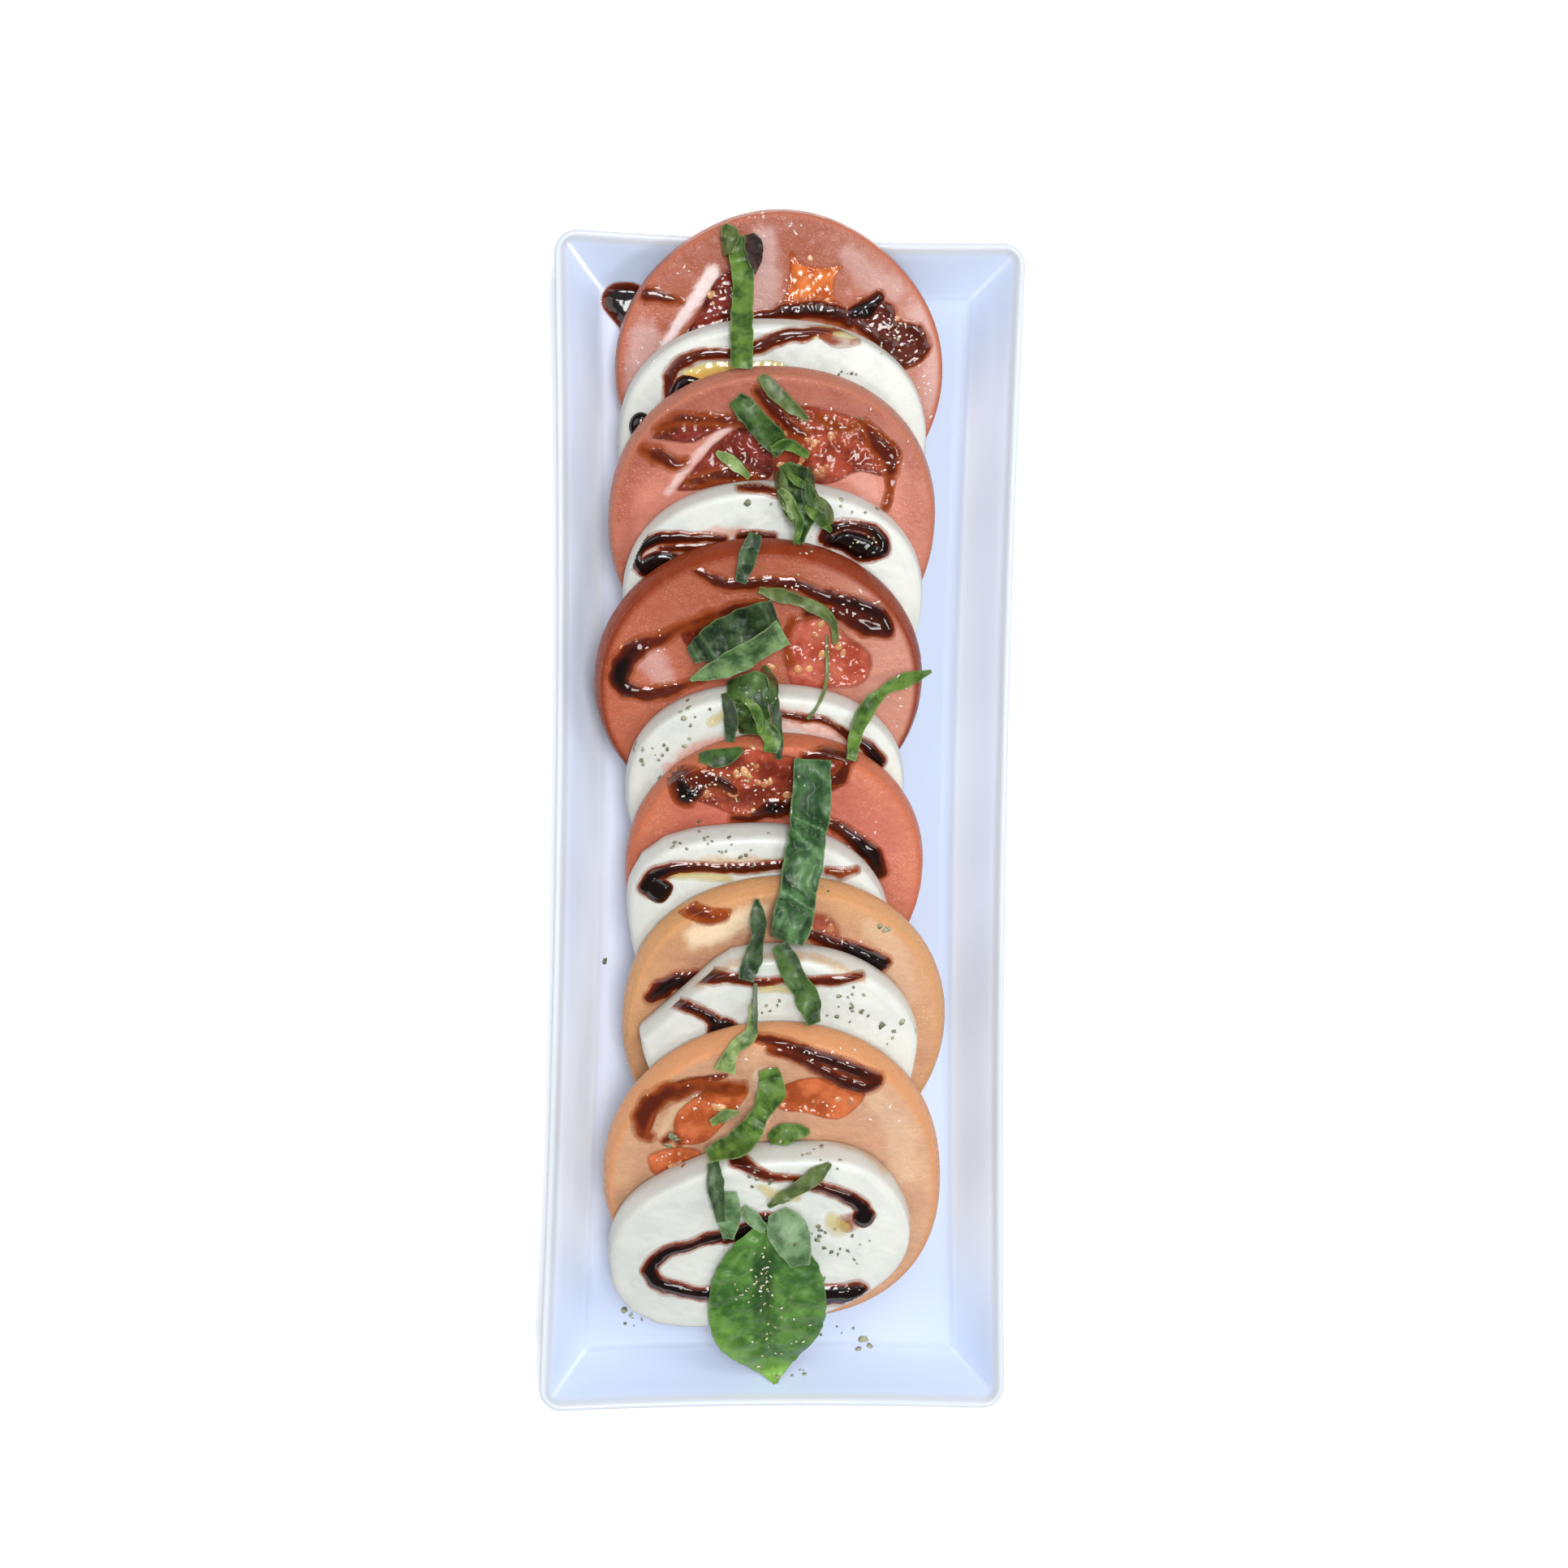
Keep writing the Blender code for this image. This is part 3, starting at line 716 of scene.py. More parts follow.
def tomato_finish(name):
    middle, rim, skin, wall = (srgb(*colour) for colour in TOMATO_COLOURS[name])
    finish = Finish(name + "_flesh", Subsurface_Weight=0.22, Subsurface_Scale=1.6 * MM,
                    Subsurface_Radius=(1.0, 0.35, 0.2), IOR=1.38,
                    Specular_IOR_Level=0.15)
    place = finish.drawn("own_place", "Vector")
    fibre = finish.drawn("fibre", "Vector")
    inward = finish.drawn("inward")
    chamber = finish.drawn("chamber")
    pale = finish.drawn("pale")
    streaks = finish.ramp(finish.noise(fibre, 1.0, 3.0, 0.5), 0.35, 0.68)
    clouds = finish.ramp(finish.noise(place, 0.1, 3.0), 0.34, 0.66)
    patches = finish.ramp(finish.noise(place, 0.45, 3.0, 0.6), 0.36, 0.64)
    grains = finish.ramp(finish.noise(place, 2.2, 2.0, 0.6), 0.54, 0.7)
    outer = 1 - finish.ramp(inward, 1.0, 10.0)
    colour = finish.mix(outer * 0.75 + (clouds - 0.5) * 0.6, middle, rim)
    colour = finish.mix(patches * 0.16 + streaks * 0.12, colour, dimmed(middle, 0.76))
    # pale grains of flesh, partly painted glints of wet light
    colour = finish.mix(grains * clouds * 0.34, colour, srgb(236, 196, 176))
    painted_shade_far, painted_shade_left, painted_light_right = TOMATO_PAINTED_LIGHT[name]
    across = finish.axis(place, 0)
    upward = finish.axis(place, 1)
    # painted shade towards the far edge and on the left, painted light towards the right
    deeper = finish.ramp(upward, 6.0, 32.0) * painted_shade_far \
        + (1 - finish.ramp(across, -34.0, -4.0)) * painted_shade_left
    colour = finish.mix(deeper, colour, dimmed(rim, 0.55))
    colour = finish.mix(finish.ramp(across, 4.0, 34.0) * painted_light_right, colour, srgb(236, 200, 184))
    colour = finish.mix(chamber * 0.85, colour, wall)
    colour = finish.mix(pale, colour, CREAM_WALL if name in ("tomato_5", "tomato_6") else PALE_WALL)
    on_skin = 1 - finish.ramp(inward, -0.6, 1.4)
    mottle = finish.noise(place, 0.35, 3.0)
    colour = finish.mix(on_skin, colour, finish.mix(mottle * 0.35, skin, rim))
    height = grains * 0.2 + patches * 0.8 + finish.noise(place, 1.0, 2.0) * 0.3
    wetness = finish.ramp(finish.noise(place, 0.3, 3.0), 0.4, 0.62)
    finish.set(Base_Color=colour, Roughness=0.3 - 0.16 * wetness - chamber * 0.08,
               Normal=finish.bump(height, 0.19 * MM, 0.7))
    return finish


# %% Tomato slices
def tomato_slice(name):
    """One tomato slice, with its chambers pressed in and its pale walls raised."""
    shape = slices[name]
    thick = shape.thick
    flare = FLARES.get(name, 2.0)
    side = [(flare + 0.25, thick - 0.02), (flare - 0.25, thick - 0.2), (flare * 0.62, thick * 0.86),
            (flare * 0.25, thick * 0.66), (0.0, thick * 0.4), (0.05, thick * 0.2),
            (flare * 0.35, thick * 0.05), (flare * 0.8, 0.0)]
    seed = int(name[-1])

    def relief(plan, flat, inward):
        depth, _ = chamber_mask(name, plan)
        swell = 0.1 * wavy(flat, 9, seed) + 0.05 * wavy(flat, 3, seed + 20)
        soft_edge = -0.25 * np.exp(-inward / 1.2)
        return swell * step_between(inward, 0, 2) - depth + 0.25 * pale_mask(name, plan) + soft_edge

    points, faces, drawn = slice_shape(shape, side, relief)
    plan = in_plan(points)
    on_face = step_between(drawn["inward"], 0.0, 1.0)
    drawn["chamber"] = chamber_mask(name, plan)[1] * on_face
    drawn["pale"] = pale_mask(name, plan) * on_face
    return add_piece(name.replace("_", "_slice_"), points, faces, tomato_finish(name), "tomato",
                     [name], drawn)


tomatoes = [tomato_slice(name) for name in TOMATOES]

# %% [markdown]
# ## Mozzarella
# Fresh mozzarella is a milky, springy ball cut with a wet knife. The cut face is nearly flat with
# faint pulled strands and tiny whey pits; the side wall is the ball's own round skin. It is the
# palest thing on the plate but not pure white: warm cream in the light, grey-green in the thin
# places.

# %% Juices that soaked in
# slice, colour, half width in millimetres, middle line
Stain = namedtuple("Stain", "slice kind half route")
STAINS = [
    Stain("mozzarella_3", "pink", 3.2, ((-4, 28.5), (4, 27), (13, 22.5), (18, 17))),
    Stain("mozzarella_3", "pink", 1.8, ((-30, 15), (-22.5, 20.5), (-15, 23))),
    Stain("mozzarella_6", "tan", 2, ((-9, -75), (5.5, -75.4), (18, -78.5), (26, -84.5))),
    Stain("mozzarella_5", "tan", 1.3, ((-22, -38), (-14, -32.6), (-4, -30), (8, -31), (18, -36))),
    Stain("mozzarella_4", "tan", 1.5, ((-34, -13), (-26, -8.6), (-14, -7.6), (0, -8.4))),
    Stain("mozzarella_2", "pink", 1.6, ((-34, 68), (-24, 72.5), (-14, 74))),
]


def stain_mask(name, kind, plan):
    """Strength from 0 to 1 of one sort of stain at plan places."""
    mask = np.zeros(len(plan))
    for stain in STAINS:
        if (stain.slice, stain.kind) == (name, kind):
            distance, _ = line_distance(plan, stain.route)
            spread = stain.half * (1 + 0.3 * wavy(plan, 5.0, 91))
            mask = np.maximum(mask, 1 - step_between(distance, spread * 0.3, spread * 1.3))
    return mask


# %% Mozzarella finish and slices
STAIN_COLOURS = {"pink": srgb(196, 148, 134), "tan": srgb(186, 162, 134)}


def mozzarella_finish():
    finish = Finish("fresh_mozzarella", Subsurface_Weight=0.35, Subsurface_Scale=2.0 * MM,
                    Subsurface_Radius=(1.0, 0.85, 0.7), IOR=1.4)
    place = finish.drawn("own_place", "Vector")
    inward = finish.drawn("inward")
    clouds = finish.ramp(finish.noise(place, 0.11, 3.0), 0.3, 0.7)
    curd = finish.noise(place, 0.7, 4.0, 0.6)
    colour = finish.mix(clouds, srgb(190, 195, 190), srgb(201, 203, 196))
    colour = finish.mix(finish.ramp(curd, 0.5, 0.75) * 0.4, colour, srgb(208, 209, 203))
    across = finish.axis(place, 0)
    # painted light: paler to the right; painted shade: darker to the left
    colour = finish.mix(finish.ramp(across, -4.0, 30.0) * 0.26, colour, srgb(222, 223, 216))
    colour = finish.mix((1 - finish.ramp(across, -34.0, -8.0)) * 0.3, colour, srgb(176, 178, 176))
    # painted shade on the side wall: darker than the cut face
    rim = 1 - finish.ramp(inward, -3.4, 1.2)
    colour = finish.mix(rim * 0.5, colour, srgb(186, 184, 177))
    streaks = finish.ramp(finish.noise(place, 0.9, 3.0), 0.3, 0.62)
    for kind, stain in STAIN_COLOURS.items():
        colour = finish.mix(finish.drawn(kind) * (0.5 + 0.45 * streaks), colour, stain)
    pits = finish.ramp(finish.noise(place, 2.2, 2.0), 0.62, 0.72)
    height = curd * 0.8 - pits * 0.5
    finish.set(Base_Color=colour, Roughness=0.26 + 0.2 * clouds,
               Normal=finish.bump(height, 0.14 * MM, 0.7))
    return finish


cheese = mozzarella_finish()


def mozzarella_slice(name):
    """One cheese slice, its cut face crowned and its side the ball's own round skin."""
    shape = slices[name]
    thick = shape.thick
    side = [(2.6, thick - 0.04), (1.7, thick - 0.28), (0.85, thick - 0.95), (0.28, thick * 0.66),
            (0.0, thick * 0.4), (0.5, thick * 0.14), (1.3, thick * 0.03), (2.4, 0.0)]
    seed = 40 + int(name[-1])

    def relief(plan, flat, inward):
        crown = 0.12 * step_between(inward, 0, 8)
        return crown + (0.14 * wavy(flat, 12, seed) + 0.05 * wavy(flat, 3, seed + 9)) \
            * step_between(inward, 0, 3)

    points, faces, drawn = slice_shape(shape, side, relief)
    for kind in STAIN_COLOURS:
        drawn[kind] = stain_mask(name, kind, in_plan(points))
    return add_piece(name.replace("_", "_slice_"), points, faces, cheese, "mozzarella", [name],
                     drawn)


cheeses = [mozzarella_slice(name) for name in CHEESES]

# %% [markdown]
# ## What lies under a point
# Jelly, glaze, basil and herbs all rest on what is already there. `Ground` keeps everything laid
# so far in one search tree, and drops plan points on it from above.

# %% Dropping points
OVERHEAD = 0.1  # metres, higher than any of the food


class Ground:
    """The upper surface of what is laid so far, for dropping plan places on it."""

    def __init__(self, pieces):
        self.layers = []
        for piece in pieces:
            self.add(piece)

    def add(self, piece):
        mesh = piece.data
        corners = [v.co.copy() for v in mesh.vertices]
        tree = BVHTree.FromPolygons(corners, [tuple(p.vertices) for p in mesh.polygons])
        spots = in_plan(np.array(corners))
        self.layers.append((tree, spots.min(0), spots.max(0)))

    def heights(self, plan):
        """Height in millimetres of the highest surface under each plan place."""
        down = Vector((0, 0, -1))
        found = np.full(len(plan), TABLE)
        for tree, low, top in self.layers:
            near = np.flatnonzero(((plan > low) & (plan < top)).all(1))
            for number, (x, y) in zip(near, plan[near] * MM):
                hit = tree.ray_cast(Vector((x + MIDDLE.x, y + MIDDLE.y, OVERHEAD)), down)[0]
                if hit is not None and hit.z > found[number]:
                    found[number] = hit.z
        return found / MM


own_ground = {name: Ground([piece]) for name, piece in
              zip(["plate"] + TOMATOES + CHEESES, [plate] + tomatoes + cheeses)}
print("surfaces to lie on:", ", ".join(own_ground))

# %% [markdown]
# ## Things that flow
# Jelly, glaze and oil are drops and lines that spread until their edge is thin. All of them are
# made in the same way. A depth is worked out on a fine grid in plan: above zero where the stuff
# lies, below zero outside. The dry corners of the squares at the border slide in to the line of
# zero depth, which gives a smooth rim, and each pool is closed with an underside just below the
# surface that it wets. A line never bridges the step from one slice down to the next.

# %% Pools and lines of something thick
CELL = 0.36  # grid squares, millimetres
SKIRT_WIDTH, SKIRT_DEPTH = 0.55, 0.15  # the thin border of a thick line
LINE_ROOM, POOL_ROOM = 1.5, 2.0  # how far past its edge a line or a pool is worked out
DRY = -1.5  # the lowest depth, well outside the edge
BLEND = 0.04  # how softly two flows run together, millimetres

# line: middle line in plan, half widths and depths along it, in millimetres
Line = namedtuple("Line", "route halves depths")
# pool: outline in plan, depth, and how far in from the edge it gets deep
Pool = namedtuple("Pool", "route depth soft")


def reach_of(flow):
    """How far a line or pool can spread from its route."""
    if isinstance(flow, Pool):
        return POOL_ROOM
    return max(flow.halves) + SKIRT_WIDTH + LINE_ROOM


def flow_depth(plan, flow):
    """Depth of one line or pool at plan places, negative outside its edge."""
    if isinstance(flow, Pool):
        share = inside_by(plan, flow.route) / flow.soft
        full = np.clip(share, 0, 1)
        return flow.depth * np.where(share > 0, 1 - (1 - full) ** 2, np.maximum(2 * share, DRY))
    distance, along = line_distance(plan, flow.route)
    half = np.interp(along, np.linspace(0, 1, len(flow.halves)), flow.halves)
    half = half * (1 + 0.11 * wavy(plan, 4.5, 15))
    depth = np.interp(along, np.linspace(0, 1, len(flow.depths)), flow.depths)
    core = depth * (1 - (distance / half) ** 2.2)
    skirt = SKIRT_DEPTH * (1 - (distance / (half + SKIRT_WIDTH)) ** 3)
    return np.maximum(np.maximum(core, skirt), DRY)


def film_depth(plan, flows, wobble, seed):
    """Depth of many lines and pools that run together where they meet."""
    shaken = plan + np.column_stack([wavy(plan, 7.0, seed + k) for k in (0, 1)]) * wobble
    total = np.full(len(plan), 1e-12)
    for flow in flows:
        route = np.array(flow.route)
        reach = reach_of(flow)
        near = ((shaken > route.min(0) - reach) & (shaken < route.max(0) + reach)).all(1)
        if near.any():
            total[near] += np.exp(np.clip(flow_depth(shaken[near], flow), -1, 9) / BLEND)
    return BLEND * np.log(total)


def grid_over(flows):
    """Corner places of squares over the whole extent of some flows."""
    spots = np.vstack([np.array(flow.route) for flow in flows])
    margin = max(reach_of(flow) for flow in flows)
    low, high = spots.min(0) - margin, spots.max(0) + margin
    xs = np.arange(low[0], high[0], CELL)
    ys = np.arange(low[1], high[1], CELL)
    return np.stack(np.meshgrid(xs, ys), -1)


# %% Squares that are wet
def corners_of(squares):
    """The four corners' rows and columns of the chosen squares, in turning order."""
    rows, columns = np.nonzero(squares)
    return [(rows + a, columns + b) for a, b in ((0, 0), (0, 1), (1, 1), (1, 0))]


def touched(squares):
    """Which grid corners the chosen squares use."""
    used = np.zeros(np.add(squares.shape, 1), bool)
    for place in corners_of(squares):
        used[place] = True
    return used


def film_grid(flows, wobble, seed):
    """Corner places, their depths and the wet squares; dry corners slid in to the edge."""
    grid = grid_over(flows)
    depth = film_depth(grid.reshape(-1, 2), flows, wobble, seed).reshape(grid.shape[:2])
    wet = depth > 0
    squares = wet[:-1, :-1] | wet[1:, :-1] | wet[:-1, 1:] | wet[1:, 1:]
    slope_y, slope_x = np.gradient(depth, CELL)
    steep = slope_x ** 2 + slope_y ** 2 + 1e-6
    move = np.where(wet, 0, -depth / steep)
    length = np.abs(move) * np.sqrt(steep)
    move *= np.minimum(1, 0.75 * CELL / np.maximum(length, 1e-9))
    grid[..., 0] += move * slope_x
    grid[..., 1] += move * slope_y
    return grid, np.maximum(depth, 0), squares


# %% A film as a closed mesh
STEP_LIMIT = 1.1  # a rise between neighbouring corners that breaks the film
SOAKED = 0.14  # how far the hidden underside lies below the surface
LIFTED = 0.02  # how far the upper side always clears it
RIPPLE_SIZE = 2.0  # across one ripple, millimetres


def without_steps(squares, surface):
    """The squares that neither cross a step of the ground nor touch one that does."""
    ends = [surface[:-1, :-1], surface[1:, :-1], surface[:-1, 1:], surface[1:, 1:]]
    flat = np.maximum.reduce(ends) - np.minimum.reduce(ends) < STEP_LIMIT
    too_steep = np.pad(squares & ~flat, 1)
    rows, columns = squares.shape
    beside = np.any([too_steep[a:a + rows, b:b + columns]
                     for a in range(3) for b in range(3)], axis=0)
    return squares & ~beside


def closed_film(grid, surface, depth, squares):
    """Points and faces of a film's upper side, underside and border."""
    used = touched(squares)
    size = int(used.sum())
    index = np.full(used.shape, -1)
    index[used] = np.arange(size)
    faces = np.column_stack([index[place] for place in corners_of(squares)])
    top = np.column_stack([grid[used], surface[used] + depth[used] + LIFTED])
    bottom = np.column_stack([grid[used], surface[used] - SOAKED])
    edges = np.vstack([faces[:, [a, (a + 1) % 4]] for a in range(4)])
    keys = {tuple(edge) for edge in edges.tolist()}
    border = [(b, a, a + size, b + size) for a, b in keys if (b, a) not in keys]
    return np.vstack([top, bottom]), faces.tolist() + (faces[:, ::-1] + size).tolist() + border


def film_shape(groups, wobble, seed, ripple=0.0):
    """Points, faces and depths of films; groups pairs a list of flows with the ground they wet."""
    parts, depths = [], []
    for flows, ground in groups:
        grid, depth, squares = film_grid(flows, wobble, seed)
        used = touched(squares)
        surface = np.full(depth.shape, np.nan)
        surface[used] = ground.heights(grid[used])
        squares = without_steps(squares, surface)
        if not squares.any():
            continue
        used = touched(squares)
        depth[used] += ripple * wavy(grid[used], RIPPLE_SIZE, seed + 7) * np.minimum(depth[used], 0.5)
        parts.append(closed_film(grid, surface, depth, squares))
        depths += [depth[used], np.zeros(used.sum())]
    points, faces = gather(parts)
    return on_the_table(points), faces, np.concatenate(depths)


# %% [markdown]
# ## Jelly and seeds
# The jelly of a tomato is clear, and takes its colour from what is under it: amber where the
# chamber is pale, brick red where it is ripe. It is the glossiest thing on the plate. Each
# chamber drawn above is filled a little unevenly, nearly to the level of the flesh.

# %% Jelly
JELLY_COLOURS = {
    "amber": ((198, 108, 46), (160, 70, 24)),
    "orange": ((192, 104, 62), (150, 68, 32)),
    "rust": ((158, 70, 48), (104, 36, 22)),
    "rose": ((180, 96, 76), (150, 62, 44)),
    "brick": ((124, 46, 34), (76, 22, 14)),
}
JELLY_FILL = 0.85  # share of a chamber's depth that is filled
JELLY_SOFT = 1.3  # how much wider the jelly's edge thins out than the chamber's wall does


def jelly_finish(kind):
    light, deep = (srgb(*colour) for colour in JELLY_COLOURS[kind])
    finish = Finish("tomato_jelly_" + kind, Subsurface_Weight=0.25, Subsurface_Scale=1.2 * MM,
                    Subsurface_Radius=(1.0, 0.4, 0.15), IOR=1.42)
    place = finish.place()
    depth = finish.drawn("depth")
    clouds = finish.ramp(finish.noise(place, 170.0, 3.0, 0.55), 0.34, 0.66)
    colour = finish.mix(clouds, deep, light)
    flecks = finish.ramp(finish.noise(place, 600.0, 2.0), 0.6, 0.74)
    colour = finish.mix(flecks * 0.25, colour, srgb(214, 150, 112))
    lumps = finish.noise(place, 150.0, 2.0)
    finish.set(Base_Color=colour, Roughness=0.05 + 0.08 * clouds,
               Alpha=0.1 + 0.9 * finish.ramp(depth, 0.0, 0.45),
               Normal=finish.bump(lumps, 0.35 * MM, 0.7))
    return finish


jellies = []
for number, kind in enumerate(JELLY_COLOURS):
    groups = [([Pool(chamber.outline, chamber.depth * JELLY_FILL, chamber.soft * JELLY_SOFT)],
               own_ground[name]) for name, chambers in CHAMBERS.items()
              for chamber in chambers if chamber.jelly == kind]
    points, faces, depths = film_shape(groups, 0.12, 60 + 10 * number, ripple=0.13)
    jellies.append(add_piece("tomato_jelly_" + kind, points, faces, jelly_finish(kind), "tomato",
                             drawn={"depth": depths}))
for name in TOMATOES:
    for jelly in jellies:
        own_ground[name].add(jelly)

# %% [markdown]
# A tomato seed is a flat drop, three millimetres long, furry and pale in its clear coat. Seeds
# lie flat in the jelly, most of them half sunk. One small rounded seed shape is turned and set
# down on the surface for each.

# %% One seed
SEED_LENGTH, SEED_WIDTH, SEED_THICK = 3.0, 2.1, 0.8
SEED_RINGS = ((0.5, -1), (0.85, -1), (1.0, -1), (0.85, 1), (0.5, 1))  # share of the width, side
SEED_TIP = 0.25  # how much longer it is towards its tip
SEED_CORNERS = 12


def seed_shape():
    """Points and faces of one seed, in millimetres, lying flat with its tip towards +x."""
    turns = 2 * math.pi * np.arange(SEED_CORNERS) / SEED_CORNERS
    tip = 1 + SEED_TIP * np.cos(turns)
    rings = []
    for share, side in SEED_RINGS:
        height = SEED_THICK / 2 * math.sqrt(1 - share ** 2) * side
        rings.append(np.column_stack([share * SEED_LENGTH / 2 * np.cos(turns) * tip,
                                      share * SEED_WIDTH / 2 * np.sin(turns),
                                      np.full(SEED_CORNERS, height)]))
    return closed_loft(rings, (0.1, 0, -SEED_THICK / 2), (0.1, 0, SEED_THICK / 2))


# %% Setting small things down
FEEL = 0.8  # how far to each side the slope of the ground is felt


def flat_frame(ground, spot):
    """Height and upward direction of the ground at a plan place."""
    z = ground.heights(np.array(spot) + np.array([(0, 0), (FEEL, 0), (-FEEL, 0), (0, FEEL),
                                                  (0, -FEEL)]))
    up = np.array([z[2] - z[1], z[4] - z[3], 2 * FEEL])
    return z[0], up / np.linalg.norm(up)


def set_down(shape_points, spot, turn, sink, ground, tilt=0.0):
    """Points of a small thing turned and laid on the ground, in metres."""
    height, up = flat_frame(ground, spot)
    facing = np.array([math.cos(turn), math.sin(turn), 0])
    ahead = facing - up * (facing @ up)
    ahead /= np.linalg.norm(ahead)
    left = np.cross(up, ahead)
    if tilt:
        ahead, up = (ahead * math.cos(tilt) + up * math.sin(tilt),
                     up * math.cos(tilt) - ahead * math.sin(tilt))
    base = np.array([spot[0], spot[1], height]) - up * sink
    return on_the_table(base + shape_points @ np.array([ahead, left, up]))


# %% Seeds
def seed_finish():
    finish = Finish("tomato_seed", Subsurface_Weight=0.3, Subsurface_Scale=0.8 * MM, IOR=1.4,
                    Coat_Weight=1.0, Coat_Roughness=0.05)
    place = finish.place()
    fur = finish.noise(place, 1500.0, 3.0)
    patches = finish.ramp(finish.noise(place, 160.0, 1.0), 0.38, 0.62)
    colour = finish.mix(patches, srgb(170, 104, 66), srgb(204, 158, 108))
    finish.set(Base_Color=finish.mix(fur * 0.5, colour, srgb(168, 98, 60)), Roughness=0.3,
               Normal=finish.bump(fur, 0.1 * MM, 0.6))
    return finish


# single seeds that stand out, then (middle, spread, how many) of loose groups
SINGLE_SEEDS = [(27, 131.5), (33, 129), (21, 130), (5.5, 49), (2, 40.5), (-42, 45), (7, 51.5),
                (13, 44.5), (-5.5, 41), (-14.5, 19), (-10, 21), (-11.5, 14.5), (-6.5, 11.5),
                (-0.5, 9), (-8, 4), (-17.5, 12.5), (4, 145), (9, 135)]
SEED_GROUPS = [((6, 99), (9, 4), 11), ((8, 91), (10, 3), 8), ((9, 44), (6, 5), 7),
               ((-9, 13), (7, 4), 9), ((-24, 9), (3, 3), 3), ((9, -66), (7, 2), 4),
               ((-18, -70), (4, 4), 4), ((-28, -83), (4, 2), 5), ((28, 125), (4, 3), 4),
               ((-19, 130), (2, 5), 3), ((9, -24), (3, 2), 3)]


SINGLE_SINK = 0.12  # how deep a single seed is set in, millimetres
GROUP_CLOSE = 0.55  # share of a group's spread that most of its seeds keep to


def seeds():
    """All the seeds as one piece, singles first and then the groups, scattered by chance."""
    chance = np.random.default_rng(5)
    ground = Ground([plate] + tomatoes + cheeses + jellies)
    shape_points, shape_faces = seed_shape()
    spots = list(SINGLE_SEEDS)
    sinks = [SINGLE_SINK] * len(spots)
    for middle, spread, count in SEED_GROUPS:
        for _ in range(count):
            spots.append(middle + chance.normal(size=2) * spread * GROUP_CLOSE)
            sinks.append(chance.uniform(0.1, 0.4))
    parts = [(set_down(shape_points * chance.uniform(0.75, 1.2), spot, chance.uniform(0, 6.28),
                       sink, ground, chance.normal() * 0.15), shape_faces)
             for spot, sink in zip(spots, sinks)]
    return add_piece("tomato_seeds", *gather(parts), seed_finish(), "tomato")


seeds()

# %% [markdown]
# ## Balsamic glaze
# Reduced balsamic vinegar is nearly black and thick as honey. Squeezed in zigzags it stands in
# round ridges, swells into a drop where the bottle paused or turned, and thins to a clear brown
# at its edges and where it ran. Depth decides the colour: a thin film lets light through, a deep
# one swallows it.

# %% Glaze finish
def glaze_finish():
    finish = Finish("balsamic_glaze", IOR=1.4)
    place = finish.place()
    depth = finish.drawn("depth") + 0.4 * (finish.noise(place, 220.0, 3.0) - 0.5)
    colour = finish.mix(finish.ramp(depth, 0.06, 0.42), srgb(152, 68, 24), srgb(78, 25, 12))
    colour = finish.mix(finish.ramp(depth, 0.42, 1.05), colour, srgb(16, 6, 5))
    ripples = finish.noise(place, 200.0, 2.0)
    finish.set(Base_Color=colour, Alpha=0.22 + 0.78 * finish.ramp(depth, 0.0, 0.28),
               Roughness=0.05 + 0.05 * ripples, Normal=finish.bump(ripples, 0.14 * MM, 0.5))
    return finish


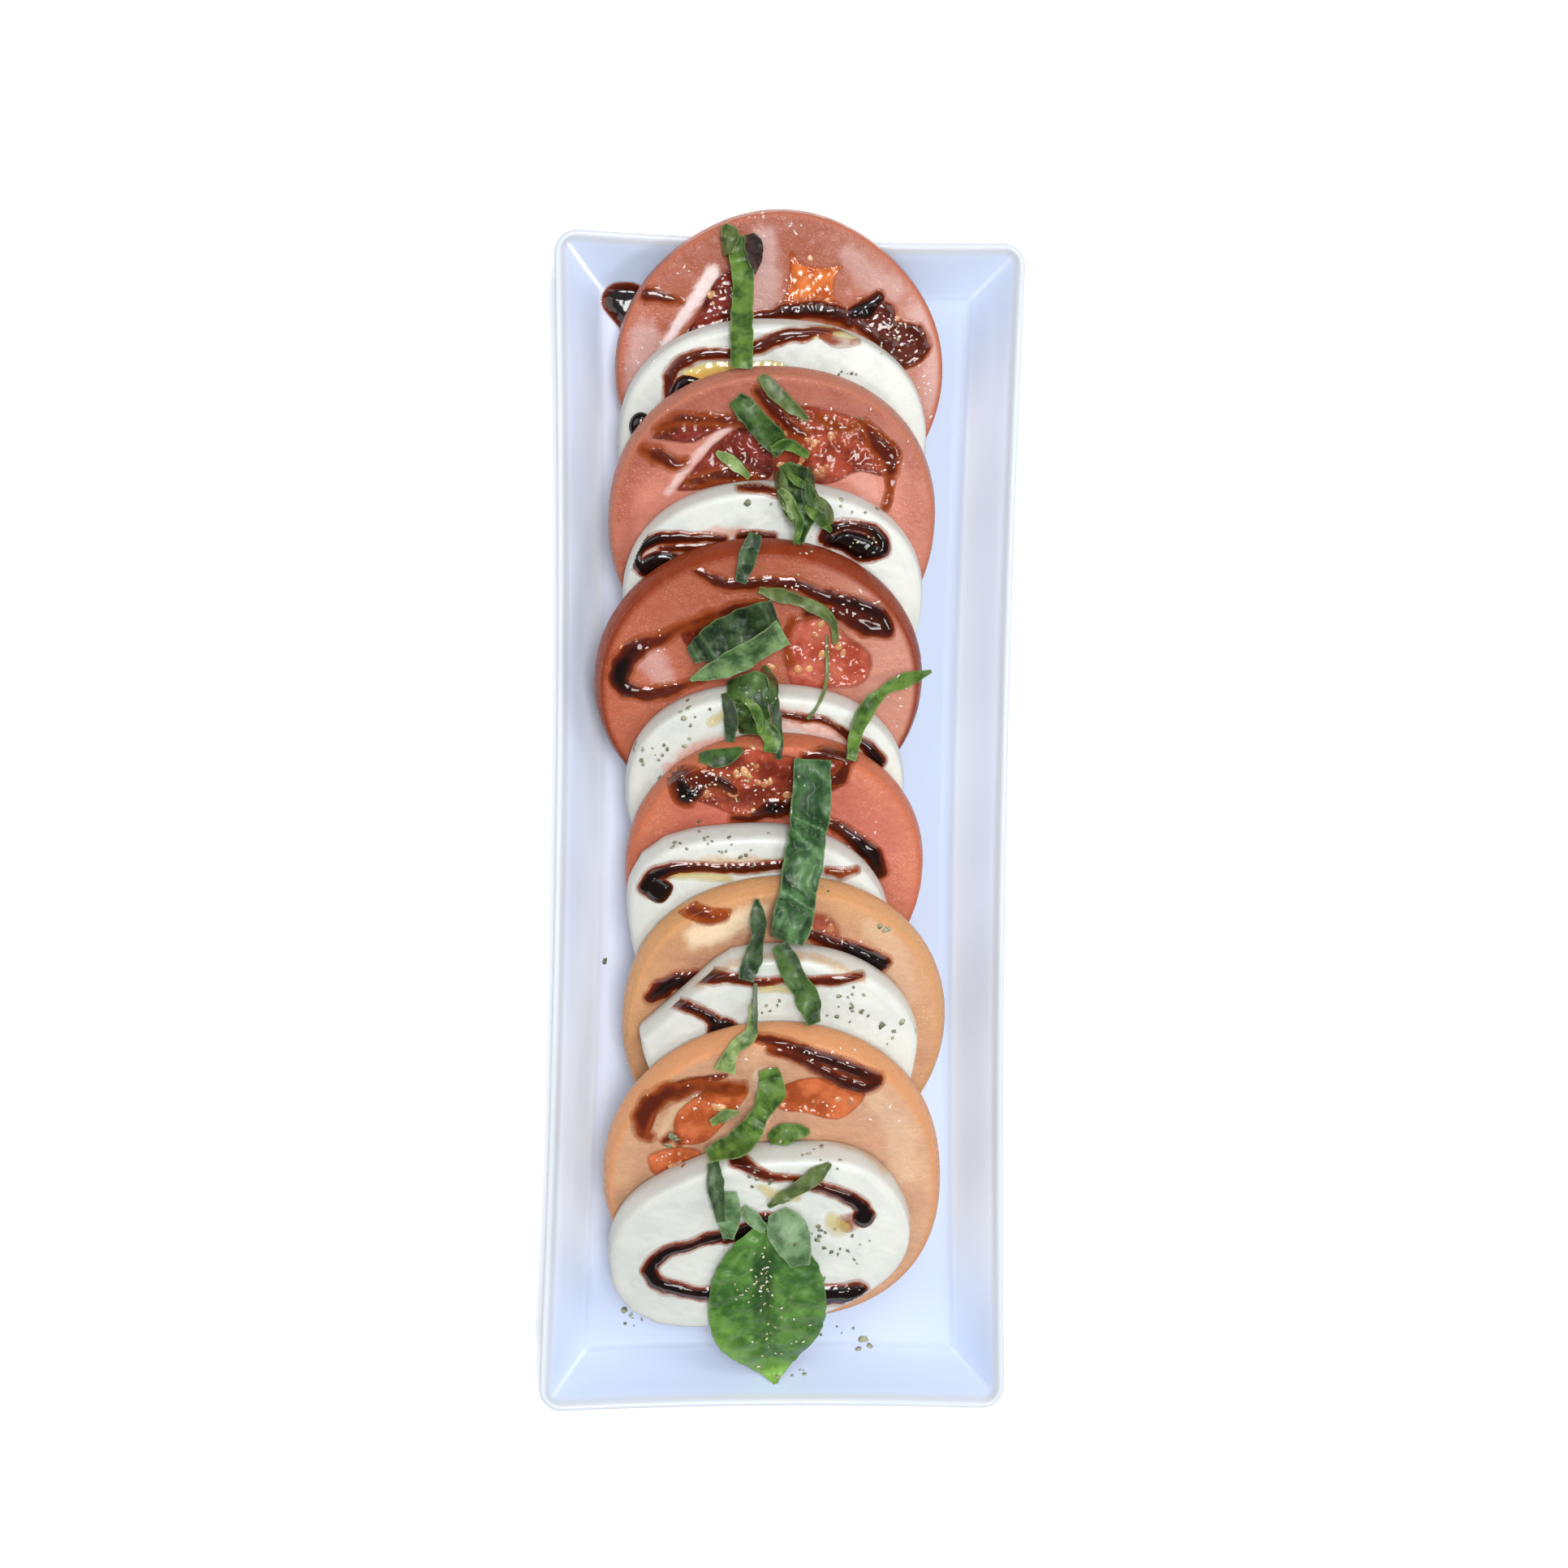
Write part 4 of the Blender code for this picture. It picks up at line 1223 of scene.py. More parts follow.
# %% Where the glaze went
GLAZE_SPREAD = 1.22  # how much wider than squeezed a line has run
GLAZE = {
    "plate": [
        Pool(((-49, 137.5), (-47.6, 140.6), (-43.5, 141.8), (-38.5, 141), (-35, 136), (-37, 130),
              (-42, 126), (-44.6, 130.5), (-48, 134.4)), 1.6, 4.6),
    ],
    "tomato_1": [
        Line(((-37.5, 135), (-33.5, 134.6), (-28.5, 133.5)), (1.8, 1.3, 0.7), (0.75, 0.6, 0.3)),
        Line(((-11, 129.6), (-3, 131.6), (3.5, 132.4), (9.5, 132.2), (15, 130.5)),
             (1.1, 1.3, 1.9, 2, 1.7), (0.6, 0.9, 1.2, 1.1, 0.9)),
        Line(((15, 130.5), (18.5, 133.5), (21.5, 136)), (1.9, 1.8, 1.4), (0.9, 0.9, 0.8)),
        Line(((21, 135), (24.5, 132.5), (26, 129)), (1.5, 1.6, 1.3), (0.8, 0.9, 0.8)),
        Line(((17, 130), (21, 126.8), (26, 124), (29, 121)), (1.6, 1.5, 1.6, 1.2), (0.9, 0.8, 0.9, 0.6)),
        Line(((28, 129), (32, 127.5), (34, 124)), (1.2, 1.9, 1.7), (0.6, 0.9, 0.8)),
        Line(((15.6, 131.6), (19, 133), (21.6, 135.4)), (1.8, 2.3, 1.5), (1.4, 1.7, 1.3)),
        Pool(((14, 131.5), (21, 136.4), (25, 132.4), (30, 129.4), (35.2, 124), (33, 119.8), (27, 118.8),
              (21, 124.4), (16, 128)), 0.62, 1.6),
    ],
    "mozzarella_1": [
        Line(((11.5, 126), (6.5, 125.2), (1.5, 124.2), (-3.5, 123.4), (-9, 121), (-15.5, 119), (-21, 118.8),
              (-26, 117.8), (-30, 115.4), (-31.3, 112), (-31, 107)),
             (0.5, 1, 1.5, 1.5, 1.4, 1.2, 1.1, 1.2, 1.4, 1.3, 1.3),
             (0.3, 0.6, 1, 1.1, 1, 0.9, 0.8, 0.9, 1, 1, 0.9)),
        Line(((6.5, 124.4), (10.5, 122.6), (15.5, 123)), (0.9, 0.8, 0.5), (0.25, 0.3, 0.15)),
        Pool(((-32.4, 105), (-31.4, 110), (-28.5, 113.6), (-24.5, 113.4), (-20.5, 110.8), (-24, 106)), 2.2,
             1.8),
    ],
    "tomato_2": [
        Line(((-34.5, 99), (-30, 101.4), (-24, 101.6), (-17.5, 101.6), (-12, 101)),
             (1, 1.3, 1.1, 1.2, 0.8), (0.5, 0.7, 0.6, 0.7, 0.4)),
        Line(((-37.5, 94.2), (-33.5, 92.4), (-30, 91), (-27.5, 91.4)),
             (1.1, 1.8, 1.7, 1.2), (0.5, 0.9, 0.9, 0.5)),
        Line(((-25.5, 86.6), (-19.5, 88.4), (-14.5, 89), (-10.5, 88.4)),
             (1.3, 1.6, 1.7, 1.1), (0.7, 0.9, 0.9, 0.6)),
        Line(((-10, 108.4), (-6, 104.6), (-2, 101), (2.5, 98.6)), (1.1, 1.4, 1.5, 1), (0.8, 1, 1, 0.6)),
        Line(((5, 103), (11, 100.5), (17, 101.5)), (0.8, 1.2, 1), (0.4, 0.5, 0.4)),
        Line(((17.5, 101), (20.5, 97), (23.8, 94), (24.4, 91)), (1.2, 1.9, 2.2, 1.7), (0.6, 1, 1.2, 0.8)),
        Line(((24, 90.5), (24.4, 86), (23.6, 82)), (1.1, 0.7, 0.9), (0.6, 0.35, 0.4)),
    ],
    "mozzarella_2": [
        Line(((-13.8, 85), (-9, 84.5), (-4.5, 83.4)), (0.9, 1.2, 0.8), (0.4, 0.5, 0.4)),
        Line(((-17.5, 72.4), (-26.5, 72.3), (-34, 71.9), (-38, 70.2), (-39.2, 67.4), (-37, 65), (-32, 64)),
             (0.7, 0.9, 1.1, 1.3, 1.5, 1.7, 1.5), (0.6, 0.8, 0.9, 1.1, 1.2, 1.4, 1.2)),
        Line(((-21, 70.4), (-27, 70), (-33, 69.6)), (0.7, 0.9, 0.8), (0.5, 0.6, 0.5)),
        Pool(((-38.4, 66.5), (-34, 69.2), (-28.5, 68.4), (-24.5, 64), (-30, 61), (-36, 62.4)), 1.6, 2.6),
        Line(((-13.4, 72.9), (-9.5, 73.1), (-5.5, 73)), (1, 1.2, 0.8), (0.7, 0.9, 0.6)),
        Line(((7, 73), (9.5, 75.4), (14, 76), (18.5, 75.4), (21.6, 73), (22, 70.6), (19.5, 69.4), (16, 70),
              (12.5, 72), (8.2, 72.6)),
             (1.2, 1.5, 1.2, 1.2, 1.5, 1.6, 1.6, 1.6, 1.9, 1.4),
             (0.9, 1.1, 0.8, 0.9, 1.1, 1.3, 1.3, 1.2, 1.3, 1)),
        Pool(((8, 71.5), (11.5, 75), (16.5, 74.6), (20.5, 72.6), (20.5, 70), (16.5, 68), (12, 70)), 1.9, 2),
    ],
    "tomato_3": [
        Line(((-24.5, 63.6), (-19.5, 61.6), (-15, 60.6), (-9, 61.4), (-4, 61.4), (0.5, 61), (6, 59),
              (11, 57.2), (17, 56), (22, 53.6), (23.8, 50.6)),
             (0.8, 1.3, 1.2, 1.1, 1.2, 1.3, 1.5, 1.8, 1.9, 1.9, 1.7),
             (0.5, 0.8, 0.8, 0.8, 0.8, 0.9, 1, 1.1, 1.2, 1.2, 1.1)),
        Line(((9.5, 55), (14.5, 52.8), (19.5, 50.8), (23.2, 50.4)),
             (1.1, 1.6, 1.9, 1.7), (0.7, 0.9, 1.1, 1)),
        Pool(((8, 58), (15, 57), (22, 54), (24, 50.6), (20.4, 49.6), (13, 53)), 0.85, 1.6),
        Line(((-6.5, 56.4), (-12, 56), (-17, 54.2), (-22, 52.5), (-27.5, 50.4), (-32.5, 47.4),
              (-37.5, 45.4), (-41, 42.6), (-42.8, 38.8), (-41.6, 35.2), (-36.5, 33.7), (-31, 34.2),
              (-26.5, 36), (-22, 37.5)),
             (0.7, 0.9, 1.3, 1.3, 1.2, 1.4, 1.8, 2.3, 2.5, 2, 1.6, 1.5, 1.1, 0.6),
             (0.3, 0.4, 0.5, 0.45, 0.35, 0.4, 0.55, 1, 1.4, 1.2, 0.8, 0.7, 0.5, 0.3)),
        Line(((0, 52.5), (-1.5, 47), (-0.5, 42)), (0.9, 0.8, 0.7), (0.4, 0.3, 0.3)),
        Line(((3, 54), (7, 54.6)), (1, 0.8), (0.5, 0.5)),
    ],
    "mozzarella_3": [
        Line(((-3.5, 29.4), (2.5, 28.2), (7.5, 27.8), (12.5, 25.4), (15.5, 23.2), (19.5, 21.2),
              (22.6, 17.4)),
             (0.7, 0.8, 0.6, 0.7, 0.9, 1.4, 1.6), (0.8, 0.9, 0.8, 0.8, 0.9, 1.2, 1.4)),
    ],
    "tomato_4": [
        Pool(((-31, 12.5), (-27.5, 16), (-22.5, 16), (-19, 13.6), (-14, 11.4), (-15.5, 9), (-21.5, 9.4),
              (-24.4, 5), (-29, 6.6)), 0.5, 2.4),
        Line(((-27.5, 12), (-25.6, 8.6), (-22.6, 10.2)), (1.5, 2.2, 1.2), (1.2, 2, 0.9)),
        Line(((-21, 13.4), (-17, 12), (-14, 9.6)), (1, 1.3, 1), (0.7, 1.1, 0.8)),
        Line(((-8, 4), (-4.4, 5.4), (-0.5, 5.8)), (1.6, 2.3, 1.8), (0.8, 1.3, 1)),
        Line(((-14, 3), (-9, 2.8)), (0.8, 0.9), (0.5, 0.5)),
        Line(((3, 18.4), (9, 19.4), (14.4, 18.4)), (1, 1.6, 1.5), (0.5, 0.8, 0.7)),
        Line(((13.6, 17), (12.4, 14), (9, 12.4)), (1.4, 1.8, 1.3), (0.6, 0.8, 0.5)),
        Line(((8, 3), (14.5, -0.4), (19, -3.8), (22, -6.6), (23.8, -10.6)),
             (0.9, 1.3, 1.9, 2.3, 1.8), (0.5, 0.8, 1.2, 1.5, 1.1)),
    ],
    "mozzarella_4": [
        Line(((1, -8), (-7.5, -9), (-16, -9.5), (-23.5, -9.2), (-29.5, -9.8), (-33.8, -11.6),
              (-35.4, -14.6)),
             (0.8, 1, 1.1, 1, 1.1, 1.5, 1.8), (0.5, 0.7, 0.8, 0.7, 0.7, 1.1, 1.4)),
        Pool(((-36.2, -12.5), (-33, -11.4), (-28.6, -14.2), (-31.6, -18.8), (-35.6, -16.6)), 1.7, 2.2),
        Line(((9.5, -10), (13, -10.4), (16.6, -9.6)), (1, 1.2, 0.8), (0.3, 0.35, 0.25)),
    ],
    "tomato_5": [
        Line(((-28, -17.6), (-24.5, -19.6), (-20, -21.2), (-16.6, -21.2)),
             (1, 1.6, 1.5, 0.9), (0.3, 0.42, 0.42, 0.25)),
        Line(((2, -23.6), (9.5, -27.2), (15, -29.2), (19.5, -31), (23.6, -32.8)),
             (1, 1.4, 1.6, 2, 2), (0.6, 1, 1.1, 1.7, 1.6)),
        Line(((-23.5, -37), (-28, -38.4), (-31.6, -40.4), (-33.6, -42.6)),
             (1.6, 1.9, 2.1, 1.5), (0.9, 1.3, 1.4, 1)),
    ],
    "mozzarella_5": [
        Line(((17.6, -35), (12.5, -36), (6.5, -36.5), (0.5, -36.2), (-7.5, -36.8), (-13.5, -36),
              (-19.5, -35.6), (-25, -36.4), (-29, -38.6), (-31.6, -41.6)),
             (0.7, 1, 1, 0.9, 0.9, 1.1, 1.3, 1.6, 2, 1.2),
             (0.4, 0.7, 0.5, 0.35, 0.4, 0.6, 0.7, 1, 1.4, 0.9)),
        Line(((-29.5, -42.4), (-25, -43.4), (-20, -45.8), (-17, -48.4)),
             (0.9, 1.2, 1.2, 1.5), (0.6, 0.9, 0.9, 1.2)),
        Line(((-18, -49.4), (-15.8, -48.6), (-13.4, -49.2)), (1.8, 2.1, 1.4), (1.3, 1.5, 1)),
    ],
    "tomato_6": [
        Line(((-7.5, -50.4), (-2, -51.6), (4, -53.8), (10, -56), (16.5, -58.6), (22, -61)),
             (0.9, 1.3, 1.5, 1.6, 1.6, 1.6), (0.6, 1, 1.3, 1.4, 1.4, 1.2)),
        Line(((-5, -53.4), (1.5, -55), (7.5, -58.2), (13.5, -61.4), (18.5, -63.2), (22, -62)),
             (0.7, 1.1, 1.2, 1.4, 1.5, 1.4), (0.5, 0.8, 1, 1.2, 1.3, 1.1)),
        Line(((-11.5, -63.6), (-20, -63.2), (-27.5, -64.4), (-33, -67.2), (-35.6, -71.4), (-35.4, -75.4),
              (-33.6, -76.8)),
             (1.4, 1.9, 2, 2.3, 2.4, 2, 1.2), (0.4, 0.45, 0.45, 0.6, 0.75, 0.7, 0.4)),
        Pool(((-6, -50.6), (4, -52.4), (15, -56.4), (22.5, -59.6), (22.5, -63.2), (17, -63.6), (8, -59.8),
              (0, -55.6), (-5, -53.4)), 0.42, 1.2),
        Line(((-30, -78), (-27.5, -76.5), (-26, -78.6)), (0.7, 0.9, 0.6), (0.6, 0.7, 0.5)),
    ],
    "mozzarella_6": [
        Line(((-12.5, -81.4), (-9, -83.2), (-4.5, -85.6), (1, -86), (7, -88), (12, -89.6), (16.4, -91.6),
              (19.6, -94), (20.6, -96.6)),
             (1.5, 1.3, 1, 0.7, 0.9, 1.2, 1.4, 1.7, 1.9), (0.7, 0.6, 0.4, 0.3, 0.5, 0.7, 0.8, 1, 1.3)),
        Pool(((17.4, -96), (20, -93.6), (23, -95.4), (23, -98.4), (20.6, -100), (17.8, -98.8)), 1.3, 2.2),
        Pool(((13.6, -96.8), (17.4, -95.8), (20, -98.6), (17, -101.4), (14, -100)), 0.1, 1.6),
        Line(((-12, -101), (-18, -103), (-23.5, -105), (-29, -107), (-32.6, -110.6), (-32.4, -114),
              (-29.5, -116.4), (-24.5, -118.2), (-17, -119)),
             (1.3, 1.4, 1.3, 1.4, 1.6, 1.7, 1.7, 1.6, 1.8), (0.9, 0.9, 0.8, 0.9, 1, 1.1, 1, 0.9, 1.1)),
        Line(((10, -119.2), (16, -119.4), (20.6, -118.4)), (2.1, 2.5, 2.2), (1.3, 1.5, 1.3)),
        Line(((-14, -102.4), (-9, -101), (-4.5, -97.6)), (1.7, 2.4, 2), (1, 1.2, 1)),
    ],
}

SUNK = 0.78  # share of its depth that the glaze keeps as it sinks
# and the slices where it keeps another share
FLATTER = {"tomato_2": 0.5, "mozzarella_1": 0.62, "tomato_6": 0.62, "mozzarella_6": 1.1,
           "mozzarella_4": 0.95, "mozzarella_5": 0.95, "mozzarella_2": 0.95}


def run_out(flow, name):
    """A line or pool of glaze after it has spread and sunk a little on its slice."""
    flat = FLATTER.get(name, SUNK)
    if isinstance(flow, Pool):
        return flow._replace(depth=flow.depth * flat)
    return flow._replace(halves=tuple(half * GLAZE_SPREAD for half in flow.halves),
                         depths=tuple(depth * flat for depth in flow.depths))


# %% The standing drop
# one drop is too steep for a film; it hangs at the rim of the first cheese
DROP_PLACE, DROP_TURN = (-38.6, 101.4), 1.3
DROP_WIDTH, DROP_HEIGHT, DROP_LONGER = 5.4, 2.0, 1.25
DROP_SIDES = 24
# share of its width and of its height, from the hidden foot up
DROP_SECTION = ((0.9, -0.8), (1.0, 0.0), (0.97, 0.3), (0.86, 0.6), (0.66, 0.84), (0.36, 0.97))


def drop_shape():
    """Points and faces of the standing drop, in millimetres round its foot."""
    turns = np.linspace(0, 2 * math.pi, DROP_SIDES, endpoint=False)
    circle = np.column_stack([np.cos(turns) * DROP_LONGER, np.sin(turns)]) * DROP_WIDTH / 2
    rings = [np.column_stack([circle * share, np.full(DROP_SIDES, DROP_HEIGHT * up)])
             for share, up in DROP_SECTION]
    return closed_loft(rings, (0, 0, DROP_SECTION[0][1] * DROP_HEIGHT), (0, 0, DROP_HEIGHT))


# %% Glaze
groups = [([run_out(flow, name) for flow in flows], own_ground[name])
          for name, flows in GLAZE.items()]
film, film_faces, depths = film_shape(groups, 0.09, 200, ripple=0.03)
drop, drop_faces = drop_shape()
drop = set_down(drop, DROP_PLACE, DROP_TURN, 0.0, own_ground["mozzarella_1"])
points, faces = gather([(film, film_faces), (drop, drop_faces)])
glaze = add_piece("balsamic_glaze", points, faces, glaze_finish(), "balsamic_glaze",
                  drawn={"depth": np.r_[depths, np.full(len(drop), DROP_HEIGHT)]})

# %% [markdown]
# ## Olive oil
# A thread of oil and tomato juice has gathered where slices meet. It is a clear film, yellow where
# it is thin and amber where it is deep, so one colour ramp over its depth is enough.

# %% Oil
OIL = {
    "mozzarella_1": [
        Pool(((-28.5, 114), (-24, 116.6), (-17, 117.2), (-10.5, 118), (-3, 117), (1.5, 113.6), (-4, 110),
              (-14, 109), (-24, 109)), 0.5, 2.6),
        Line(((4, 124), (9, 125.6), (14.4, 124)), (0.8, 1.2, 0.8), (0.1, 0.16, 0.1)),
    ],
    "mozzarella_3": [Line(((-20, 27), (-14, 30), (-8, 33)), (0.8, 1.2, 0.8), (0.12, 0.2, 0.1))],
    "mozzarella_6": [
        Pool(((11, -95.5), (17, -97.6), (17.6, -100.6), (13.4, -103), (10.6, -99.6)), 0.16, 2),
        Line(((-6, -88.4), (-1.5, -91), (3, -91.4)), (0.9, 1.2, 0.8), (0.1, 0.14, 0.1)),
    ],
    "mozzarella_4": [Line(((-30, -10.6), (-24, -11.6), (-15, -11.6)), (0.8, 1.0, 0.8),
                          (0.1, 0.14, 0.1))],
    "mozzarella_5": [Line(((-8, -38.6), (-2, -38.4), (4, -38.8)), (0.8, 1.0, 0.8),
                          (0.1, 0.14, 0.1))],
}


def oil_finish():
    finish = Finish("olive_oil", IOR=1.46, Roughness=0.06)
    place = finish.place()
    depth = finish.drawn("depth")
    uneven = depth + 0.16 * (finish.noise(place, 160.0, 2.0) - 0.5)
    colour = finish.mix(finish.ramp(uneven, 0.3, 0.6), srgb(206, 186, 108), srgb(206, 152, 66))
    finish.set(Base_Color=colour, Alpha=0.15 + 0.72 * finish.ramp(uneven, 0.0, 0.32))
    return finish


groups = [(flows, own_ground[name]) for name, flows in OIL.items()]
points, faces, depths = film_shape(groups, 0.3, 260, ripple=0.05)
oil = add_piece("olive_oil", points, faces, oil_finish(), "balsamic_glaze", drawn={"depth": depths})

# %% [markdown]
# ## Basil
# A cook stacks basil leaves, rolls them and cuts across the roll, which gives ribbons. They fall
# as they like: they bridge from slice to slice, bank to one side, curl at their long edges, and
# the bruised ones go dark. The CAD sheets say where each ribbon runs. Each is made again here as
# a fine thin sheet, on a route through the same few places.

# %% Where the ribbons run
# widths, spread evenly from the first end to the last, in millimetres; curl lifts the long edges;
# bank tips the ribbon from side to side
Ribbon = namedtuple("Ribbon", "widths route curl bank look")
# one for each CAD sheet, in their order
RIBBONS = [
    Ribbon((4.2, 5.6, 5.2, 5.5, 5.6, 5.2),
           ((-15.4, 149), (-13.4, 139), (-13.8, 127), (-14, 114)), 0.5, 0.1, "young"),
    Ribbon((2.2, 3.8, 3.6, 2.6, 1), ((-9.5, 112), (-4.6, 107), (2.5, 101.8)), 0.4, 0.2, "olive"),
    Ribbon((4, 5.8, 5.4, 5.8, 4.6), ((-15.5, 106.5), (-9.3, 100), (-3, 94.4)), 0.7, 0.3, "fresh"),
    Ribbon((3, 8.4, 7.2, 9.5, 4, 1.2), ((-3, 90.8), (0.4, 85), (1.2, 78), (1, 70.8)), 1, 0.35, "fresh"),
    Ribbon((3.2, 4.4, 4, 2.6), ((-10.2, 73), (-12.3, 66.7), (-13.6, 61)), 0.4, 0.25, "dark"),
    Ribbon((1.4, 3.4, 2.6, 3.2, 2, 1.4), ((-9, 59.4), (1.3, 57), (9, 53), (10.8, 47)), 0.3, 0.2, "olive"),
    Ribbon((4, 8.6, 9.6, 9, 6.5), ((-25.4, 43.4), (-15.5, 48.6), (-4.6, 54)), 0.9, 0.2, "dark"),
    Ribbon((0.8, 4.6, 6.4, 5.6, 6.8), ((-25.2, 37.3), (-14.2, 42), (-2.6, 49.3)), 0.7, 0.15, "bright"),
    Ribbon((7, 11, 7.6, 9, 4), ((-12.5, 38.5), (-10, 32), (-10.6, 24)), 1, 0.3, "fresh"),
    Ribbon((0.6, 3.8, 2.6, 4.2, 3.4, 2.4),
           ((35.6, 40.6), (23.2, 35.3), (16.8, 26.7), (14.6, 18)), 0.4, 0.35, "young"),
    Ribbon((0.8, 4, 3.2, 4.6, 3.8), ((-8.6, -16.4), (-8.2, -25), (-11.2, -36)), 0.5, 0.3, "dark"),
    Ribbon((3.6, 5.6, 5, 6, 3.2), ((-2.9, -27), (0.6, -34.9), (3.8, -39.7), (6, -46.8)), 0.6, 0.2, "fresh"),
    Ribbon((9, 9.4, 9.8, 9.2, 9.8, 9, 9.8, 7.6),
           ((4.8, 18), (4.4, 5), (2.4, -9.2), (-1.2, -26.5)), 0.9, 0.08, "broad"),
    Ribbon((1.8, 2.6, 3.6, 3.2, 5.8),
           ((-8.9, -42.4), (-9.6, -49), (-14, -53), (-16, -58.5)), 0.3, 0.2, "pale"),
    Ribbon((4.6, 6.6, 4.6, 6.2, 5, 3),
           ((-5.2, -58), (-4.2, -63.4), (-7, -70), (-11.4, -76.6), (-19.5, -80.4)), 0.6, 0.4, "young"),
    Ribbon((3.6, 5.8, 5.4, 2.4), ((-14, -89.6), (-13.8, -102)), 0.4, 0.15, "grey"),
    Ribbon((2.8, 4.2, 3.4, 2.2), ((-18, -82), (-17.4, -88), (-15.8, -97)), 0.5, 0.25, "dark"),
    Ribbon((1, 4.4, 3.8, 3, 0.8), ((10.7, -81.9), (3.5, -88), (-4.2, -93.4)), 0.5, 0.25, "olive"),
    Ribbon((5, 9.6, 9.8, 7.6, 4.4), ((-1.8, -95), (1.8, -101.6), (4.4, -109)), 0.5, 0.1, "grey"),
]
BASIL_LEAF = Ribbon((3, 14, 21, 26, 28.6, 29.8, 30, 29, 25.5, 18.5, 10, 0.6),
                    ((-4, -98), (-3.4, -112), (-2.2, -128), (0.8, -146.4)), 0.5, 0, "leaf")
# fine shreds that came off the same knife
SHREDS = [
    Ribbon((1, 2.8, 2.6, 1.2), ((-19.6, 94), (-15, 91.2), (-11.2, 88)), 0.2, 0.2, "pale"),
    Ribbon((1.2, 2.8, 1.6), ((-6.4, 94.5), (-2, 95.8), (3.4, 93.6)), 0.3, 0.3, "young"),
    Ribbon((1, 3, 2.4), ((-4.5, 89), (-3.2, 82), (0.2, 76)), 0.3, 0.3, "olive"),
    Ribbon((0.8, 3, 2.2), ((4.4, 91), (2.4, 84), (3, 79)), 0.3, 0.3, "dark"),
    Ribbon((2, 3.2, 1), ((1.8, 80), (6, 77), (8.8, 74.5)), 0.3, 0.2, "young"),
    Ribbon((0.7, 0.9, 0.8), ((8.6, 49), (8.9, 38), (6.2, 31), (3.9, 28)), 0.05, 0, "olive"),
    Ribbon((1.4, 2.4, 1.6, 1.8), ((-5.2, 37), (-4.2, 30), (-3.2, 24), (-3.4, 18)), 0.2, 0.2, "dark"),
    Ribbon((1.6, 3.2, 2), ((-16.8, 34), (-15.2, 28), (-15.4, 22)), 0.3, 0.2, "dark"),
    Ribbon((1.8, 4.6, 3.8, 1.4), ((-23, 18.2), (-17.6, 18), (-12.4, 20.2)), 0.5, 0.2, "fresh"),
    Ribbon((3, 4.6, 3.2), ((-8.4, 27), (-5.2, 23), (-5.6, 19.6)), 0.5, 0.2, "young"),
    Ribbon((1, 1.2, 0.8), ((-8.6, -37), (-8.7, -43), (-8.5, -49)), 0.05, 0, "dark"),
    Ribbon((1.6, 3, 1.2), ((-18.6, -73), (-15, -70.8), (-11.8, -70)), 0.3, 0.2, "pale"),
    Ribbon((2.2, 5, 4.2, 1.4), ((-4, -77.2), (0.5, -75.4), (6.2, -75.2)), 0.4, 0.1, "young"),
    Ribbon((2, 3.6, 2.6), ((-10.4, -94), (-7.6, -97), (-4.6, -99.6)), 0.3, 0.2, "grey"),
]
# a tangle of fine cuts: five on the second cheese and two by the third
SHREDS += [
    Ribbon(widths, route, 0.3, 0.5, look) for widths, route, look in (
        ((1, 2.2, 1), ((-2.4, 88), (0.6, 85.5), (4.2, 84.6)), "young"),
        ((1, 2.4, 1.4), ((-4.6, 84), (-2, 81), (-1.6, 76.6)), "pale"),
        ((1, 2.6, 1.2), ((2.2, 87), (3, 82), (6.2, 78.6)), "fresh"),
        ((0.8, 2, 1), ((-1, 80), (0.4, 75.6), (-0.4, 71)), "young"),
        ((1, 2.4, 0.8), ((4, 82), (7.4, 79.6), (9, 76.4)), "olive"),
        ((1.2, 2.6, 1), ((-12.5, 33), (-9, 29.4), (-8.4, 24.4)), "young"),
        ((1, 2.8, 1.2), ((-6.8, 41), (-4.8, 36), (-5.4, 31.6)), "fresh"))]
# the top of the first ribbon is crushed: a curl of green with a purple-black fold beside it
SHREDS += [
    Ribbon((1.6, 4.4, 3.6, 1.8), ((-18.2, 152), (-16.6, 149), (-17.2, 144.5)), 1, 0.4, "olive"),
    Ribbon((2.4, 5, 4, 1.4), ((-11.8, 150), (-10.6, 146.4), (-10.6, 140.5)), 1.2, 0.4, "bruised"),
]


# %% [markdown]
# A leaf sheet is a grid of rows along its route and columns across it. Each grid place starts at
# the height of the CAD sheet, is kept clear of what lies below, and is smoothed a little, as a
# leaf has some stiffness. Then it gets what makes it a leaf: a blade puffed up between its veins,
# lifted edges, a lean to one side, and its thickness.

# %% Leaf sheets
LEAF_THICK = 0.32  # millimetres
LEAF_CELL = 0.62  # size of the grid's squares
REST_GAP = 0.22  # middle of a sheet over what it lies on
UNDER_CAD = 0.4  # how far a sheet may sag below its CAD sheet
SAG = 0.002  # how far a sheet sinks in one round of settling
FREE_ROUNDS, CAD_ROUNDS = 260, 30  # rounds of settling without and with a CAD sheet
LAST_ROUNDS = 4  # rounds that only smooth
SPINE_ROUNDS = 60  # rounds that smooth the spine of a stiff leaf
ARCH = 1.2  # how far its long edges hang below its spine


def blurred(grid):
    """Mean of a grid and its four neighbours, with straight extension past the borders."""
    wide = np.pad(grid, 1, mode="reflect", reflect_type="odd")
    return (wide[:-2, 1:-1] + wide[2:, 1:-1] + wide[1:-1, :-2] + wide[1:-1, 2:]) / 4


